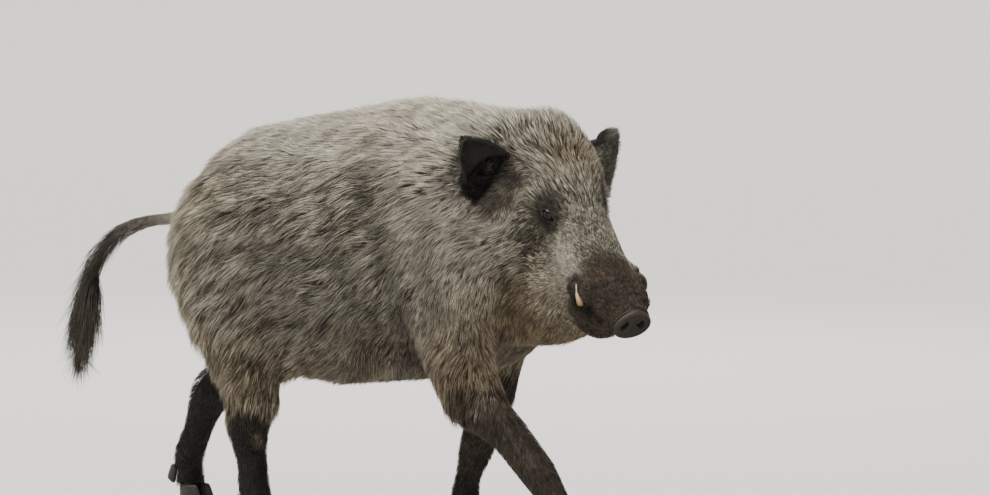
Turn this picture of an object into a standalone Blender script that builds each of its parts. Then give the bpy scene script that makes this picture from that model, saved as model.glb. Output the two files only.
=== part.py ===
"""A wild boar, an adult male at life size, walking, divided into the parts that a person would name.

Metres. +X points the way the boar walks, +Y to its left and +Z up, with the hooves on the floor at Z = 0.
The flesh is lofted from named stations, joined, smoothed as one body and then parted with thin cuts.
Its surface is where the tips of the coat lie.
"""

import math
from collections import namedtuple

import bmesh
import bpy
import numpy as np
from mathutils import Euler, Matrix, Vector

GAP = 0.0004  # between neighbouring parts
SIDES = 28  # points around a loft
BODY_VOXEL = 0.0085  # detail of the joined flesh
BODY_SMOOTHING = 9  # passes that blend limbs into the trunk
BODY_TRIANGLES = 2350
HEAD_TRIANGLES = 6900  # for the whole body at the density that the head uses
SQUARE = 2.25  # 2 is an ellipse, more is fuller at the corners

SNOUT_REACH = 0.304  # from the line between the eyes to the face of the snout disc
EYE_SPACING = 0.112
EYE_RADIUS = 0.0140
EAR_LENGTH = 0.172
EAR_WIDTH = 0.118
EAR_THICKNESS = 0.009
DISC_WIDTH = 0.080
DISC_HEIGHT = 0.070
DISC_DEPTH = 0.020
DISC_RISE = -0.020
DISC_SIDES = 20
CORONET = 0.047  # height of the edge where hair meets hoof
HOOF_LENGTH = 0.074
HOOF_WIDTH = 0.035
CLAW_SIDES = 10

# Where the head is, at the middle of the line between the eyes, and how it is turned:
# roll, pitch down and yaw to the right.
EYE_LINE = Vector((0.462, -0.036, 0.714))
HEAD_TURN = Euler((math.radians(6), math.radians(38), math.radians(-20)), "XYZ")
HEAD_FRAME = Matrix.Translation(EYE_LINE) @ HEAD_TURN.to_matrix().to_4x4()

# A section of a loft: its centre, how far it rises above and drops below that, and half its width.
# On a leg, whose path runs down, rise is towards the front and drop towards the back.
Station = namedtuple("Station", "x y z rise drop half_width")

TRUNK = (
    Station(-0.628, 0, 0.625, 0.030, 0.060, 0.050),  # buttocks
    Station(-0.614, 0, 0.625, 0.072, 0.110, 0.092),
    Station(-0.576, 0, 0.625, 0.110, 0.165, 0.140),  # rump
    Station(-0.510, 0, 0.625, 0.160, 0.210, 0.182),
    Station(-0.430, 0, 0.625, 0.228, 0.240, 0.204),  # croup
    Station(-0.370, 0, 0.622, 0.254, 0.252, 0.203),
    Station(-0.290, 0, 0.622, 0.266, 0.264, 0.206),  # loin
    Station(-0.190, 0, 0.620, 0.274, 0.272, 0.219),
    Station(-0.080, 0, 0.620, 0.294, 0.276, 0.226),  # barrel
    Station(0.060, 0, 0.630, 0.302, 0.275, 0.219),  # girth
    Station(0.180, 0, 0.645, 0.287, 0.262, 0.196),  # withers
    Station(0.290, 0, 0.665, 0.245, 0.232, 0.158),
    Station(0.365, 0, 0.660, 0.175, 0.175, 0.125),  # breast
    Station(0.400, 0, 0.655, 0.100, 0.100, 0.080),
)
NECK = (
    Station(0.100, 0.000, 0.640, 0.265, 0.200, 0.185),
    Station(0.240, 0.000, 0.690, 0.218, 0.205, 0.160),
    Station(0.335, -0.008, 0.710, 0.168, 0.180, 0.140),
    Station(0.405, -0.025, 0.720, 0.120, 0.150, 0.125),
)
# The head, in its own frame: x along the muzzle from the eye line, z up.
HEAD = (
    Station(-0.235, 0, -0.060, 0.090, 0.090, 0.092),
    Station(-0.180, 0, -0.040, 0.128, 0.130, 0.115),  # nape
    Station(-0.110, 0, -0.025, 0.124, 0.140, 0.110),  # crown
    Station(-0.050, 0, -0.015, 0.099, 0.143, 0.093),  # brow
    Station(0.010, 0, -0.015, 0.079, 0.128, 0.066),  # eyes
    Station(0.075, 0, -0.016, 0.065, 0.108, 0.056),  # bridge of the nose
    Station(0.150, 0, -0.018, 0.055, 0.072, 0.051),  # muzzle
    Station(0.220, 0, -0.018, 0.046, 0.054, 0.046),
    Station(0.265, 0, -0.018, 0.037, 0.040, 0.040),
    Station(0.292, 0, -0.018, 0.034, 0.036, 0.037),  # behind the disc, cut off there
)
JAW = (
    Station(-0.040, 0, -0.100, 0.050, 0.050, 0.075),
    Station(0.050, 0, -0.102, 0.048, 0.054, 0.062),
    Station(0.115, 0, -0.107, 0.040, 0.052, 0.050),
    Station(0.175, 0, -0.110, 0.034, 0.046, 0.040),  # chin
    Station(0.218, 0, -0.098, 0.022, 0.032, 0.031),
    Station(0.246, 0, -0.088, 0.010, 0.014, 0.018),
)

# Each leg, from inside the trunk to inside the hooves, with its side: -1 is right, 1 is left.
LEGS = {
    "foreleg_right": (
        -1,
        (
            Station(0.190, 0.090, 0.700, 0.090, 0.110, 0.070),
            Station(0.235, 0.125, 0.560, 0.095, 0.120, 0.075),  # shoulder
            Station(0.262, 0.140, 0.450, 0.066, 0.100, 0.066),
            Station(0.310, 0.145, 0.360, 0.050, 0.074, 0.056),  # elbow
            Station(0.392, 0.143, 0.285, 0.039, 0.044, 0.042),
            Station(0.466, 0.140, 0.210, 0.038, 0.037, 0.039),  # knee
            Station(0.525, 0.137, 0.140, 0.028, 0.028, 0.029),
            Station(0.564, 0.136, 0.088, 0.031, 0.036, 0.034),  # fetlock
            Station(0.592, 0.136, 0.052, 0.031, 0.033, 0.032),
            Station(0.606, 0.136, 0.022, 0.030, 0.030, 0.031),
        ),
    ),
    "foreleg_left": (
        1,
        (
            Station(0.140, 0.090, 0.700, 0.090, 0.110, 0.070),
            Station(0.150, 0.125, 0.560, 0.090, 0.110, 0.075),
            Station(0.125, 0.138, 0.430, 0.070, 0.085, 0.064),
            Station(0.108, 0.135, 0.345, 0.047, 0.062, 0.052),
            Station(0.090, 0.128, 0.265, 0.041, 0.043, 0.041),
            Station(0.068, 0.122, 0.200, 0.038, 0.037, 0.039),
            Station(0.050, 0.118, 0.140, 0.028, 0.028, 0.029),
            Station(0.044, 0.117, 0.088, 0.031, 0.036, 0.034),
            Station(0.062, 0.117, 0.052, 0.031, 0.033, 0.032),
            Station(0.072, 0.117, 0.022, 0.030, 0.030, 0.031),
        ),
    ),
    "hindleg_right": (
        -1,
        (
            Station(-0.420, 0.090, 0.680, 0.120, 0.130, 0.070),
            Station(-0.390, 0.120, 0.560, 0.150, 0.165, 0.088),  # thigh
            Station(-0.345, 0.132, 0.450, 0.125, 0.155, 0.082),  # stifle in front
            Station(-0.335, 0.130, 0.365, 0.088, 0.110, 0.066),
            Station(-0.344, 0.124, 0.295, 0.064, 0.068, 0.052),
            Station(-0.360, 0.118, 0.235, 0.050, 0.054, 0.044),  # hock
            Station(-0.351, 0.116, 0.155, 0.033, 0.034, 0.032),
            Station(-0.343, 0.115, 0.092, 0.033, 0.038, 0.035),  # fetlock
            Station(-0.322, 0.115, 0.052, 0.031, 0.033, 0.032),
            Station(-0.310, 0.115, 0.022, 0.030, 0.030, 0.031),
        ),
    ),
    "hindleg_left": (
        1,
        (
            Station(-0.430, 0.090, 0.680, 0.120, 0.120, 0.070),
            Station(-0.460, 0.120, 0.560, 0.150, 0.140, 0.088),
            Station(-0.500, 0.132, 0.450, 0.125, 0.115, 0.080),
            Station(-0.575, 0.132, 0.365, 0.090, 0.080, 0.062),
            Station(-0.655, 0.126, 0.310, 0.062, 0.058, 0.050),
            Station(-0.722, 0.120, 0.250, 0.048, 0.050, 0.042),
            Station(-0.762, 0.117, 0.165, 0.033, 0.034, 0.032),
            Station(-0.790, 0.116, 0.096, 0.033, 0.038, 0.035),
            Station(-0.784, 0.116, 0.054, 0.031, 0.033, 0.032),
            Station(-0.774, 0.116, 0.022, 0.030, 0.030, 0.031),
        ),
    ),
}

# Rounded masses that swell the lofts: centre, half sizes, and turn about Y in degrees.
Mass = namedtuple("Mass", "x y z long wide high pitch")
TRUNK_MASSES = (
    Mass(0.190, 0.142, 0.640, 0.120, 0.082, 0.200, 18),  # shoulder blade
    Mass(0.215, 0.120, 0.550, 0.095, 0.082, 0.110, 0),  # upper arm and breast
    Mass(-0.400, 0.130, 0.580, 0.180, 0.088, 0.180, -12),  # ham
    Mass(-0.120, 0.080, 0.452, 0.260, 0.112, 0.114, 0),  # paunch
    Mass(0.385, 0.020, 0.550, 0.130, 0.085, 0.105, -20),  # throat
    Mass(-0.190, 0.006, 0.352, 0.080, 0.020, 0.032, 6),  # sheath
    Mass(-0.584, 0.022, 0.505, 0.036, 0.032, 0.050, 10),  # scrotum
)
HEAD_MASSES = (
    Mass(-0.075, 0.062, -0.075, 0.078, 0.058, 0.078, 0),  # jowl
    Mass(-0.140, 0.056, -0.085, 0.085, 0.060, 0.080, 0),  # back of the cheek
    Mass(-0.042, 0.052, -0.016, 0.056, 0.036, 0.034, 10),  # cheekbone
    Mass(-0.006, 0.042, 0.036, 0.042, 0.022, 0.020, 12),  # brow
    Mass(0.170, 0.052, -0.028, 0.034, 0.034, 0.030, 8),  # lip over the tusk's root
)
EYE_SOCKET = Mass(0.012, 0.071, 0.009, 0.024, 0.013, 0.016, 12)
# Each ear, in the head's frame: where its base is, the way it points and the way its hollow faces.
EARS = {
    "ear_right": ((-0.081, -0.087, -0.034), (-0.44, -0.63, 0.70), (0.82, -0.20, 0.36)),
    "ear_left": ((-0.081, 0.079, -0.018), (-0.75, 0.62, 0.10), (0.55, 0.55, 0.45)),
}


def clear_scene():
    for obj in list(bpy.data.objects):
        bpy.data.objects.remove(obj)


def collection(name):
    made = bpy.data.collections.new(name)
    bpy.context.scene.collection.children.link(made)
    return made


def add_object(name, mesh):
    obj = bpy.data.objects.new(name, mesh)
    BOAR.objects.link(obj)
    return obj


def finish_mesh(name, bm):
    """Writes a bmesh, its faces turned outwards, to a new object."""
    bmesh.ops.recalc_face_normals(bm, faces=bm.faces)
    mesh = bpy.data.meshes.new(name)
    bm.to_mesh(mesh)
    bm.free()
    return add_object(name, mesh)


def evaluated_mesh(obj):
    graph = bpy.context.evaluated_depsgraph_get()
    return bpy.data.meshes.new_from_object(obj.evaluated_get(graph))


def apply_modifiers(obj):
    mesh = evaluated_mesh(obj)
    obj.modifiers.clear()
    obj.data = mesh


def copy_of(obj, name):
    return add_object(name, obj.data.copy())


def smooth_rows(stations, count):
    """Rows of numbers, eased through the stations with cubic curves, evenly along their path."""
    rows = np.array(stations, float)
    steps = np.linalg.norm(np.diff(rows[:, :3], axis=0), axis=1)
    along = np.concatenate([[0], np.cumsum(steps)])
    slopes = np.gradient(rows, along, axis=0)
    places = np.linspace(0, along[-1], count)
    spans = np.clip(np.searchsorted(along, places, side="right") - 1, 0, len(rows) - 2)
    length = steps[spans][:, None]
    t = ((places - along[spans]) / steps[spans])[:, None]
    start = (2 * t**3 - 3 * t**2 + 1) * rows[spans] + (t**3 - 2 * t**2 + t) * length * slopes[spans]
    end = (3 * t**2 - 2 * t**3) * rows[spans + 1] + (t**3 - t**2) * length * slopes[spans + 1]
    return start + end


def round_power(value, square):
    """A cosine or sine bent towards a rounded square."""
    return math.copysign(abs(value) ** (2 / square), value)


def skin_rings(bm, rings):
    """Faces from each ring of points to the next, and one over each end."""
    count = len(rings[0])
    for first, second in zip(rings, rings[1:], strict=False):
        for i in range(count):
            j = (i + 1) % count
            bm.faces.new((first[i], first[j], second[j], second[i]))
    bm.faces.new(rings[0])
    bm.faces.new(rings[-1])


def loft(name, stations, rings=40, square=SQUARE, sides=SIDES):
    """A closed tube through the stations, with a rounded-square section across its path."""
    rows = smooth_rows(stations, rings)
    ahead = np.gradient(rows[:, :3], axis=0)
    bm = bmesh.new()
    sections = []
    for row, forward in zip(rows, ahead, strict=True):
        forward = Vector(forward).normalized()
        up = forward.cross(Vector((0, 1, 0))).normalized()
        across = up.cross(forward)
        section = []
        for i in range(sides):
            angle = 2 * math.pi * i / sides
            height = round_power(math.sin(angle), square)
            reach = row[3] if height > 0 else row[4]
            width = row[5] * round_power(math.cos(angle), square)
            section.append(bm.verts.new(Vector(row[:3]) + across * width + up * height * reach))
        sections.append(section)
    skin_rings(bm, sections)
    return finish_mesh(name, bm)


def ellipsoid(name, mass, side, frame):
    """A rounded mass, on the given side of the given frame."""
    bm = bmesh.new()
    bmesh.ops.create_uvsphere(bm, u_segments=14, v_segments=9, radius=1)
    turn = Matrix.Rotation(math.radians(mass.pitch), 4, "Y")
    place = Matrix.Translation((mass.x, side * mass.y, mass.z))
    bm.transform(frame @ place @ turn @ Matrix.Diagonal((mass.long, mass.wide, mass.high, 1)))
    return finish_mesh(name, bm)


def flip_side(stations, side):
    return [s._replace(y=s.y * side) for s in stations]


def joined(name, objects):
    """One object with the meshes of all of these, which are removed."""
    bm = bmesh.new()
    for obj in objects:
        bm.from_mesh(obj.data)
        bpy.data.objects.remove(obj)
    return finish_mesh(name, bm)


def make_flesh():
    """The whole body without its hooves, eyes, ears, tusks, disc and tail, as one smooth skin."""
    forms = [loft("trunk_form", TRUNK), loft("neck_form", NECK)]
    for name, stations in (("head_form", HEAD), ("jaw_form", JAW)):
        form = loft(name, stations, square=2.35)
        form.data.transform(HEAD_FRAME)
        forms.append(form)
    for name, (side, stations) in LEGS.items():
        forms.append(loft(name + "_form", flip_side(stations, side), square=2.1))
    for side in (-1, 1):
        forms += [ellipsoid("mass", mass, side, Matrix.Identity(4)) for mass in TRUNK_MASSES]
        forms += [ellipsoid("mass", mass, side, HEAD_FRAME) for mass in HEAD_MASSES]
    flesh = joined("flesh", forms)
    remesh = flesh.modifiers.new("one skin", "REMESH")
    remesh.mode = "VOXEL"
    remesh.voxel_size = BODY_VOXEL
    smooth = flesh.modifiers.new("blend", "SMOOTH")
    smooth.factor = 0.5
    smooth.iterations = BODY_SMOOTHING
    apply_modifiers(flesh)
    return flesh


def thinned(flesh, name, triangles):
    """A copy of the flesh with about this many triangles."""
    copy = copy_of(flesh, name)
    copy.data.calc_loop_triangles()
    thin = copy.modifiers.new("thin", "DECIMATE")
    thin.ratio = triangles / len(copy.data.loop_triangles)
    apply_modifiers(copy)
    return copy


def box(low, high, frame=None, grow=0.0):
    """A hidden cutting block between two corners, in the given frame, grown by a margin."""
    bm = bmesh.new()
    bmesh.ops.create_cube(bm, size=1)
    low = Vector(low) - Vector((grow, grow, grow))
    high = Vector(high) + Vector((grow, grow, grow))
    bm.transform(Matrix.Translation((low + high) / 2) @ Matrix.Diagonal((*(high - low), 1)))
    bm.transform(frame or Matrix.Identity(4))
    mesh = bpy.data.meshes.new("cutter")
    bm.to_mesh(mesh)
    bm.free()
    return hidden_cutter(mesh)


def hidden_cutter(mesh):
    cutter = bpy.data.objects.new("cutter", mesh)
    CUTTERS.objects.link(cutter)
    cutter.hide_render = True
    cutter.display_type = "WIRE"
    return cutter


def boolean(obj, cutter, operation):
    """Cuts obj with the cutter, which is then removed."""
    cut = obj.modifiers.new("cut", "BOOLEAN")
    cut.operation = operation
    cut.object = cutter
    apply_modifiers(obj)
    bpy.data.objects.remove(cutter)


def part_off(body, name, low, high, frame=None):
    """Takes what lies in a block off the body, as a part of its own with a thin gap around it."""
    part = copy_of(body, name)
    boolean(part, box(low, high, frame), "INTERSECT")
    boolean(body, box(low, high, frame, grow=GAP), "DIFFERENCE")
    return part


def swollen(obj, margin):
    """A hidden copy of obj, its surface moved out by a margin, to cut its neighbours with."""
    cutter = hidden_cutter(obj.data.copy())
    push = cutter.modifiers.new("push", "DISPLACE")
    push.strength = margin
    push.mid_level = 0
    apply_modifiers(cutter)
    return cutter


def frame_at(place, yaw=0.0, pitch=0.0, roll=0.0):
    """A frame at a place, turned by angles in degrees."""
    turn = Euler((math.radians(roll), math.radians(pitch), math.radians(yaw)), "XYZ")
    return Matrix.Translation(place) @ turn.to_matrix().to_4x4()


def make_ear(name, base, length, hollow):
    """A cupped leaf with a rounded point, from inside the head outwards."""
    rows, columns = 7, 6
    bm = bmesh.new()
    grid = []
    for i in range(rows + 1):
        along = i / rows
        half = EAR_WIDTH / 2 * (0.72 + 0.62 * along - 0.94 * along**2.6) * math.sqrt(1.03 - along**5)
        line = []
        for j in range(columns + 1):
            across = 2 * j / columns - 1
            cup = 0.040 * (1 - 0.6 * along) * (across**2 - 0.5)
            bow = -0.012 * math.sin(math.pi * along)
            line.append(bm.verts.new((EAR_LENGTH * along, half * across, cup + bow)))
        grid.append(line)
    for i in range(rows):
        for j in range(columns):
            bm.faces.new((grid[i][j], grid[i + 1][j], grid[i + 1][j + 1], grid[i][j + 1]))
    ear = finish_mesh(name, bm)
    length = Vector(length).normalized()
    hollow = Vector(hollow)
    hollow = (hollow - length * hollow.dot(length)).normalized()
    across = hollow.cross(length)
    turn = Matrix((length, across, hollow)).transposed().to_4x4()
    ear.data.transform(HEAD_FRAME @ Matrix.Translation(base) @ turn)
    wall = ear.modifiers.new("wall", "SOLIDIFY")
    wall.thickness = EAR_THICKNESS
    wall.offset = 0
    apply_modifiers(ear)
    return ear


def make_tusk(name, side):
    """A tusk that rises from the lower jaw and leans outwards over the upper lip, in the head's frame."""
    stations = (
        Station(0.186, 0.042, -0.090, 0.0080, 0.0080, 0.0070),
        Station(0.196, 0.056, -0.064, 0.0090, 0.0090, 0.0075),
        Station(0.199, 0.065, -0.042, 0.0080, 0.0080, 0.0065),
        Station(0.196, 0.070, -0.024, 0.0052, 0.0052, 0.0044),
        Station(0.191, 0.072, -0.012, 0.0015, 0.0015, 0.0013),
    )
    tusk = loft(name, flip_side(stations, side), rings=7, square=2, sides=7)
    tusk.data.transform(HEAD_FRAME)
    return tusk


def make_eye(name, side):
    bm = bmesh.new()
    bmesh.ops.create_uvsphere(bm, u_segments=12, v_segments=8, radius=EYE_RADIUS)
    bm.transform(HEAD_FRAME @ Matrix.Translation((0.006, side * EYE_SPACING / 2, 0.006)))
    return finish_mesh(name, bm)


def disc_outline(angle, scale):
    """The snout disc's egg-shaped edge, wider below, as (y, z) in the head's frame."""
    y = DISC_WIDTH / 2 * math.cos(angle) * (1 - 0.10 * math.sin(angle))
    z = DISC_HEIGHT / 2 * math.sin(angle)
    return y * scale, z * scale


def make_snout_disc():
    """The bare, flat end of the snout, with a raised rim and two nostrils."""
    bm = bmesh.new()
    profile = ((0.0, 0.95), (0.30, 0.97), (0.60, 1.02), (0.88, 1.0), (1.0, 0.90))
    front = SNOUT_REACH
    rings = []
    for depth, scale in profile:
        x = front - DISC_DEPTH * (1 - depth)
        ring = []
        for i in range(DISC_SIDES):
            y, z = disc_outline(2 * math.pi * i / DISC_SIDES, scale)
            ring.append(bm.verts.new((x, y, z + DISC_RISE)))
        rings.append(ring)
    skin_rings(bm, rings)
    disc = finish_mesh("snout_disc", bm)
    for side in (-1, 1):
        nostril = Mass(front, 0.0175, DISC_RISE, 0.012, 0.0070, 0.0110, 0)
        cutter = ellipsoid("nostril", nostril, side, Matrix.Identity(4))
        boolean(disc, cutter, "DIFFERENCE")
    disc.data.transform(HEAD_FRAME)
    return disc


def make_claw(name, frame, length, width, height):
    """One half of a cloven hoof: flat below, pointed and sloping in front, rounded behind."""
    bm = bmesh.new()
    rings = []
    for level, scale in ((0.0, 0.94), (0.10, 1.0), (1.0, 0.80)):
        ring = []
        for i in range(CLAW_SIDES):
            angle = 2 * math.pi * i / CLAW_SIDES
            taper = 1 - 0.45 * max(math.cos(angle), 0) ** 2
            along = length / 2 * math.cos(angle) * scale - 0.24 * height * level
            across = width / 2 * math.sin(angle) * scale * taper
            ring.append(bm.verts.new((along, across, height * level)))
        rings.append(ring)
    skin_rings(bm, rings)
    claw = finish_mesh(name, bm)
    claw.data.transform(frame)
    return claw


def make_tail(trunk):
    """The tail in two lengths: its base, held out behind, and the hanging brush of long hair."""
    stations = (
        Station(-0.590, 0.000, 0.655, 0.024, 0.024, 0.024),
        Station(-0.652, -0.015, 0.651, 0.018, 0.018, 0.018),
        Station(-0.695, -0.035, 0.648, 0.014, 0.014, 0.014),
        Station(-0.744, -0.058, 0.638, 0.016, 0.016, 0.015),
        Station(-0.784, -0.077, 0.622, 0.019, 0.019, 0.017),
        Station(-0.819, -0.093, 0.594, 0.024, 0.024, 0.022),
        Station(-0.842, -0.104, 0.558, 0.030, 0.030, 0.027),
        Station(-0.857, -0.112, 0.510, 0.034, 0.034, 0.032),
        Station(-0.867, -0.116, 0.455, 0.028, 0.028, 0.026),
        Station(-0.876, -0.119, 0.400, 0.014, 0.014, 0.014),
        Station(-0.885, -0.123, 0.352, 0.003, 0.003, 0.003),
    )
    tail = loft("tail_base", stations, rings=18, square=2, sides=12)
    boolean(tail, swollen(trunk, GAP), "DIFFERENCE")
    brush = part_off(tail, "tail_brush", (-1.2, -0.5, 0.2), (-0.5, 0.5, 0.585))
    return [tail, brush]


MATERIALS = {
    "coat": ((0.24, 0.19, 0.14, 1), 0.9),
    "dark_coat": ((0.035, 0.028, 0.022, 1), 0.85),
    "bare_skin": ((0.11, 0.075, 0.060, 1), 0.55),
    "hoof_horn": ((0.045, 0.036, 0.030, 1), 0.5),
    "tusk_ivory": ((0.62, 0.47, 0.27, 1), 0.35),
    "eye": ((0.030, 0.017, 0.010, 1), 0.08),
}


def material(slot):
    """A plain Principled finish for a part."""
    found = bpy.data.materials.get(slot)
    if found:
        return found
    made = bpy.data.materials.new(slot)
    made.use_nodes = True
    colour, roughness = MATERIALS[slot]
    shader = made.node_tree.nodes["Principled BSDF"]
    shader.inputs["Base Color"].default_value = colour
    shader.inputs["Roughness"].default_value = roughness
    made.diffuse_color = colour
    return made


def paint(objects, slot):
    for obj in objects:
        obj.data.materials.clear()
        obj.data.materials.append(material(slot))
        obj.data.shade_smooth()
        obj.data.set_sharp_from_angle(angle=math.radians(40))


def centre_on_floor(objects):
    """Moves everything so that the whole boar's box stands centred on the origin."""
    corners = np.concatenate([[v.co[:] for v in obj.data.vertices] for obj in objects])
    low, high = corners.min(axis=0), corners.max(axis=0)
    shift = Matrix.Translation((-(low[0] + high[0]) / 2, -(low[1] + high[1]) / 2, -low[2]))
    for obj in objects:
        obj.data.transform(shift)


def make_feet():
    """Two claws that carry each leg and two dewclaws behind its fetlock."""
    claws = []
    for leg, (side, stations) in LEGS.items():
        fetlock, end = stations[-3], stations[-1]
        corner = leg.replace("leg", "")
        for name, out in (("outer", side), ("inner", -side)):
            y = side * end.y
            sole = frame_at((end.x + 0.012, y + out * 0.0185, 0), yaw=out * 5)
            claws.append(make_claw(f"hoof_{corner}_{name}", sole, HOOF_LENGTH, HOOF_WIDTH, CORONET - GAP))
            heel = frame_at((fetlock.x - 0.034, y + out * 0.022, 0.052), yaw=out * 14, pitch=38)
            claws.append(make_claw(f"dewclaw_{corner}_{name}", heel, 0.030, 0.019, 0.034))
    return claws


def part_legs(body, claws):
    """Cuts each leg off the body in three lengths: upper, lower and foot."""
    legs = []
    for name, (side, stations) in LEGS.items():
        joint, knee, end = stations[3], stations[5], stations[-1]
        near, far = sorted((side * 0.045, side * 0.400))
        under = box((end.x - 0.2, near, -0.1), (end.x + 0.2, far, CORONET))
        boolean(body, under, "DIFFERENCE")
        # The cut at the elbow or the stifle is square to a slanting leg, and level on an upright one.
        lean = math.degrees(math.atan2(joint.x - knee.x, joint.z - knee.z))
        across = frame_at((joint.x, 0, joint.z - 0.030), pitch=lean if abs(lean) > 20 else 0)
        lower = part_off(body, name + "_lower", (-0.16, near, -0.5), (0.16, far, 0), across)
        low, high = (end.x - 0.2, near, 0), (end.x + 0.2, far, knee.z - 0.03)
        foot = part_off(lower, name + "_foot", low, high)
        for claw in claws:
            if claw.name.startswith("dewclaw_" + name.replace("leg", "")):
                boolean(foot, swollen(claw, GAP), "DIFFERENCE")
        fore = name.startswith("fore")
        reach = 0.135 if fore else 0.165
        near, far = sorted((side * 0.085, side * 0.400))
        slant = frame_at((stations[1].x, 0, joint.z), pitch=14 if fore else -10)
        low, high = (-reach, near, -0.3), (reach, far, 0.23 if fore else 0.27)
        legs += [foot, lower, part_off(body, name + "_upper", low, high, slant)]
    return legs


def build():
    flesh = make_flesh()
    fine = thinned(flesh, "fine", HEAD_TRIANGLES)
    trunk = thinned(flesh, "trunk", BODY_TRIANGLES)
    bpy.data.objects.remove(flesh)
    nape = frame_at((0.375, 0, 0.70), yaw=-14, pitch=8)
    in_front = ((0, -0.5, -0.235), (0.6, 0.5, 0.4))
    head = copy_of(fine, "head")
    boolean(head, box(*in_front, nape), "INTERSECT")
    boolean(trunk, box(*in_front, nape, grow=GAP), "DIFFERENCE")
    behind_disc = SNOUT_REACH - DISC_DEPTH - GAP
    boolean(head, box((behind_disc, -0.2, -0.3), (0.6, 0.2, 0.3), HEAD_FRAME), "DIFFERENCE")
    jaw = part_off(head, "lower_jaw", (0.085, -0.2, -0.3), (0.5, 0.2, -0.078), HEAD_FRAME)
    shoulder = frame_at((0.225, 0, 0.70), pitch=14)
    neck = part_off(trunk, "neck", (0, -0.5, -0.12), (0.3, 0.5, 0.4), shoulder)
    claws = make_feet()
    legs = part_legs(trunk, claws)
    ears = [make_ear(name, *shape) for name, shape in EARS.items()]
    for ear in ears:
        boolean(ear, swollen(fine, GAP), "DIFFERENCE")
        boolean(ear, swollen(neck, GAP), "DIFFERENCE")
    eyes = [make_eye("eye_right", -1), make_eye("eye_left", 1)]
    for side, eye in zip((-1, 1), eyes, strict=True):
        boolean(head, ellipsoid("socket", EYE_SOCKET, side, HEAD_FRAME), "DIFFERENCE")
        boolean(head, swollen(eye, GAP), "DIFFERENCE")
    tusks = [make_tusk("tusk_right", -1), make_tusk("tusk_left", 1)]
    for tusk in tusks:
        boolean(tusk, swollen(fine, GAP), "DIFFERENCE")
    disc = make_snout_disc()
    tail = make_tail(trunk)
    bpy.data.objects.remove(fine)
    paint([trunk, neck, head, jaw, *ears], "coat")
    paint([*tail, *legs], "dark_coat")
    paint([disc], "bare_skin")
    paint(claws, "hoof_horn")
    paint(tusks, "tusk_ivory")
    paint(eyes, "eye")
    centre_on_floor(list(BOAR.objects))


clear_scene()
BOAR = collection("wild_boar")
CUTTERS = collection("cutters")
build()
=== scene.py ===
# %% [markdown]
# # A wild boar at life size
# A big male boar walks with his head low. The solid model already has his true size, outline and pose,
# out to the tips of his hair. This lesson dresses it: one seamless skin, a coat of solid tufts,
# real eyes, tusks, a snout disc and hooves. Everything is in metres, +X is the way he walks,
# +Y is his left and +Z is up.

import math

import bmesh
import bpy
import numpy as np
from mathutils import Euler, Matrix, Vector, kdtree
from mathutils.bvhtree import BVHTree


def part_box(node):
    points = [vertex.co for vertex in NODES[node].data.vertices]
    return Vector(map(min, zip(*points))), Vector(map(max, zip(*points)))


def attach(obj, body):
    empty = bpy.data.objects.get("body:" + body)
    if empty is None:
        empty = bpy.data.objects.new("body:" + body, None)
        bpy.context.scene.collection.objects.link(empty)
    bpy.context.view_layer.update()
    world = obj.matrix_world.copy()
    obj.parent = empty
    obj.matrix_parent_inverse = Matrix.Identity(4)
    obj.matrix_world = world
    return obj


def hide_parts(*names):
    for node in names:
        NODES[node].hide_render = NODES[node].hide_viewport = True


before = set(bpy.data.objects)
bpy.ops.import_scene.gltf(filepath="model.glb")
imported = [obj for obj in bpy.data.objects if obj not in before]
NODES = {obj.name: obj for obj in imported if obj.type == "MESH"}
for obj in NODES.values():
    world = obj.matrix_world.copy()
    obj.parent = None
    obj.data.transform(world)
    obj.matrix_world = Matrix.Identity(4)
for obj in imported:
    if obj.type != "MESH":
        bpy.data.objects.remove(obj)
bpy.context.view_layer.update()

# %% [markdown]
# The head is turned, so its features are easiest to place in a frame of its own: the origin is between
# the eyes, x runs down the muzzle, y to the boar's left and z out of the forehead. The turn is the one
# that the solid head was made with, and the solid eyes give its place.

# %% The head's own frame
HEAD_TURN = Euler((math.radians(6), math.radians(38), math.radians(-20)), "XYZ").to_matrix().to_4x4()


def node_centre(name):
    low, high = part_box(name)
    return (low + high) / 2


EYE_PLACE = Vector((0.006, 0.056, 0.006))
EYE_OUT = (0.52, 0.82, 0.20)  # the way the left eye looks
between_eyes = (node_centre("eye_left") + node_centre("eye_right")) / 2
HEAD = Matrix.Translation(between_eyes - HEAD_TURN @ Vector((EYE_PLACE.x, 0, EYE_PLACE.z))) @ HEAD_TURN
SHIFT_X = HEAD.translation.x - 0.462
print("head frame at", [round(v, 3) for v in HEAD.translation], "the solids were moved by", round(SHIFT_X, 4))


def to_head(points):
    """World points as rows, in the head's frame."""
    inverse = np.array(HEAD.inverted())
    return points @ inverse[:3, :3].T + inverse[:3, 3]


def from_head(points):
    matrix = np.array(HEAD)
    return points @ matrix[:3, :3].T + matrix[:3, 3]


def head_vectors(vectors):
    """Directions given in the head's frame, as world directions."""
    return vectors @ np.array(HEAD)[:3, :3].T


# %% [markdown]
# Some small helpers are used all the way through. `ramp` eases from 0 to 1 between two values, and
# `bump_at` from 1 at a place to 0 around it. `points_of` reads a mesh's points as an array, and `wander`
# is a soft random wave in space, which makes things a little uneven in the same way on every run.


# %% Helpers for numbers and arrays
def ramp(value, start, end):
    t = np.clip((value - start) / (end - start), 0, 1)
    return t * t * (3 - 2 * t)


def hump(value, width):
    """1 where a number is 0, easing to 0 at about twice this width on either side."""
    return np.exp(-((value / width) ** 2))


def bump_at(points, centre, reach):
    """1 at a place, easing to 0 at about this reach in each direction."""
    away = (points - np.array(centre)) / np.array(reach)
    return np.exp(-np.sum(away**2, axis=1) * 1.5)


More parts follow.
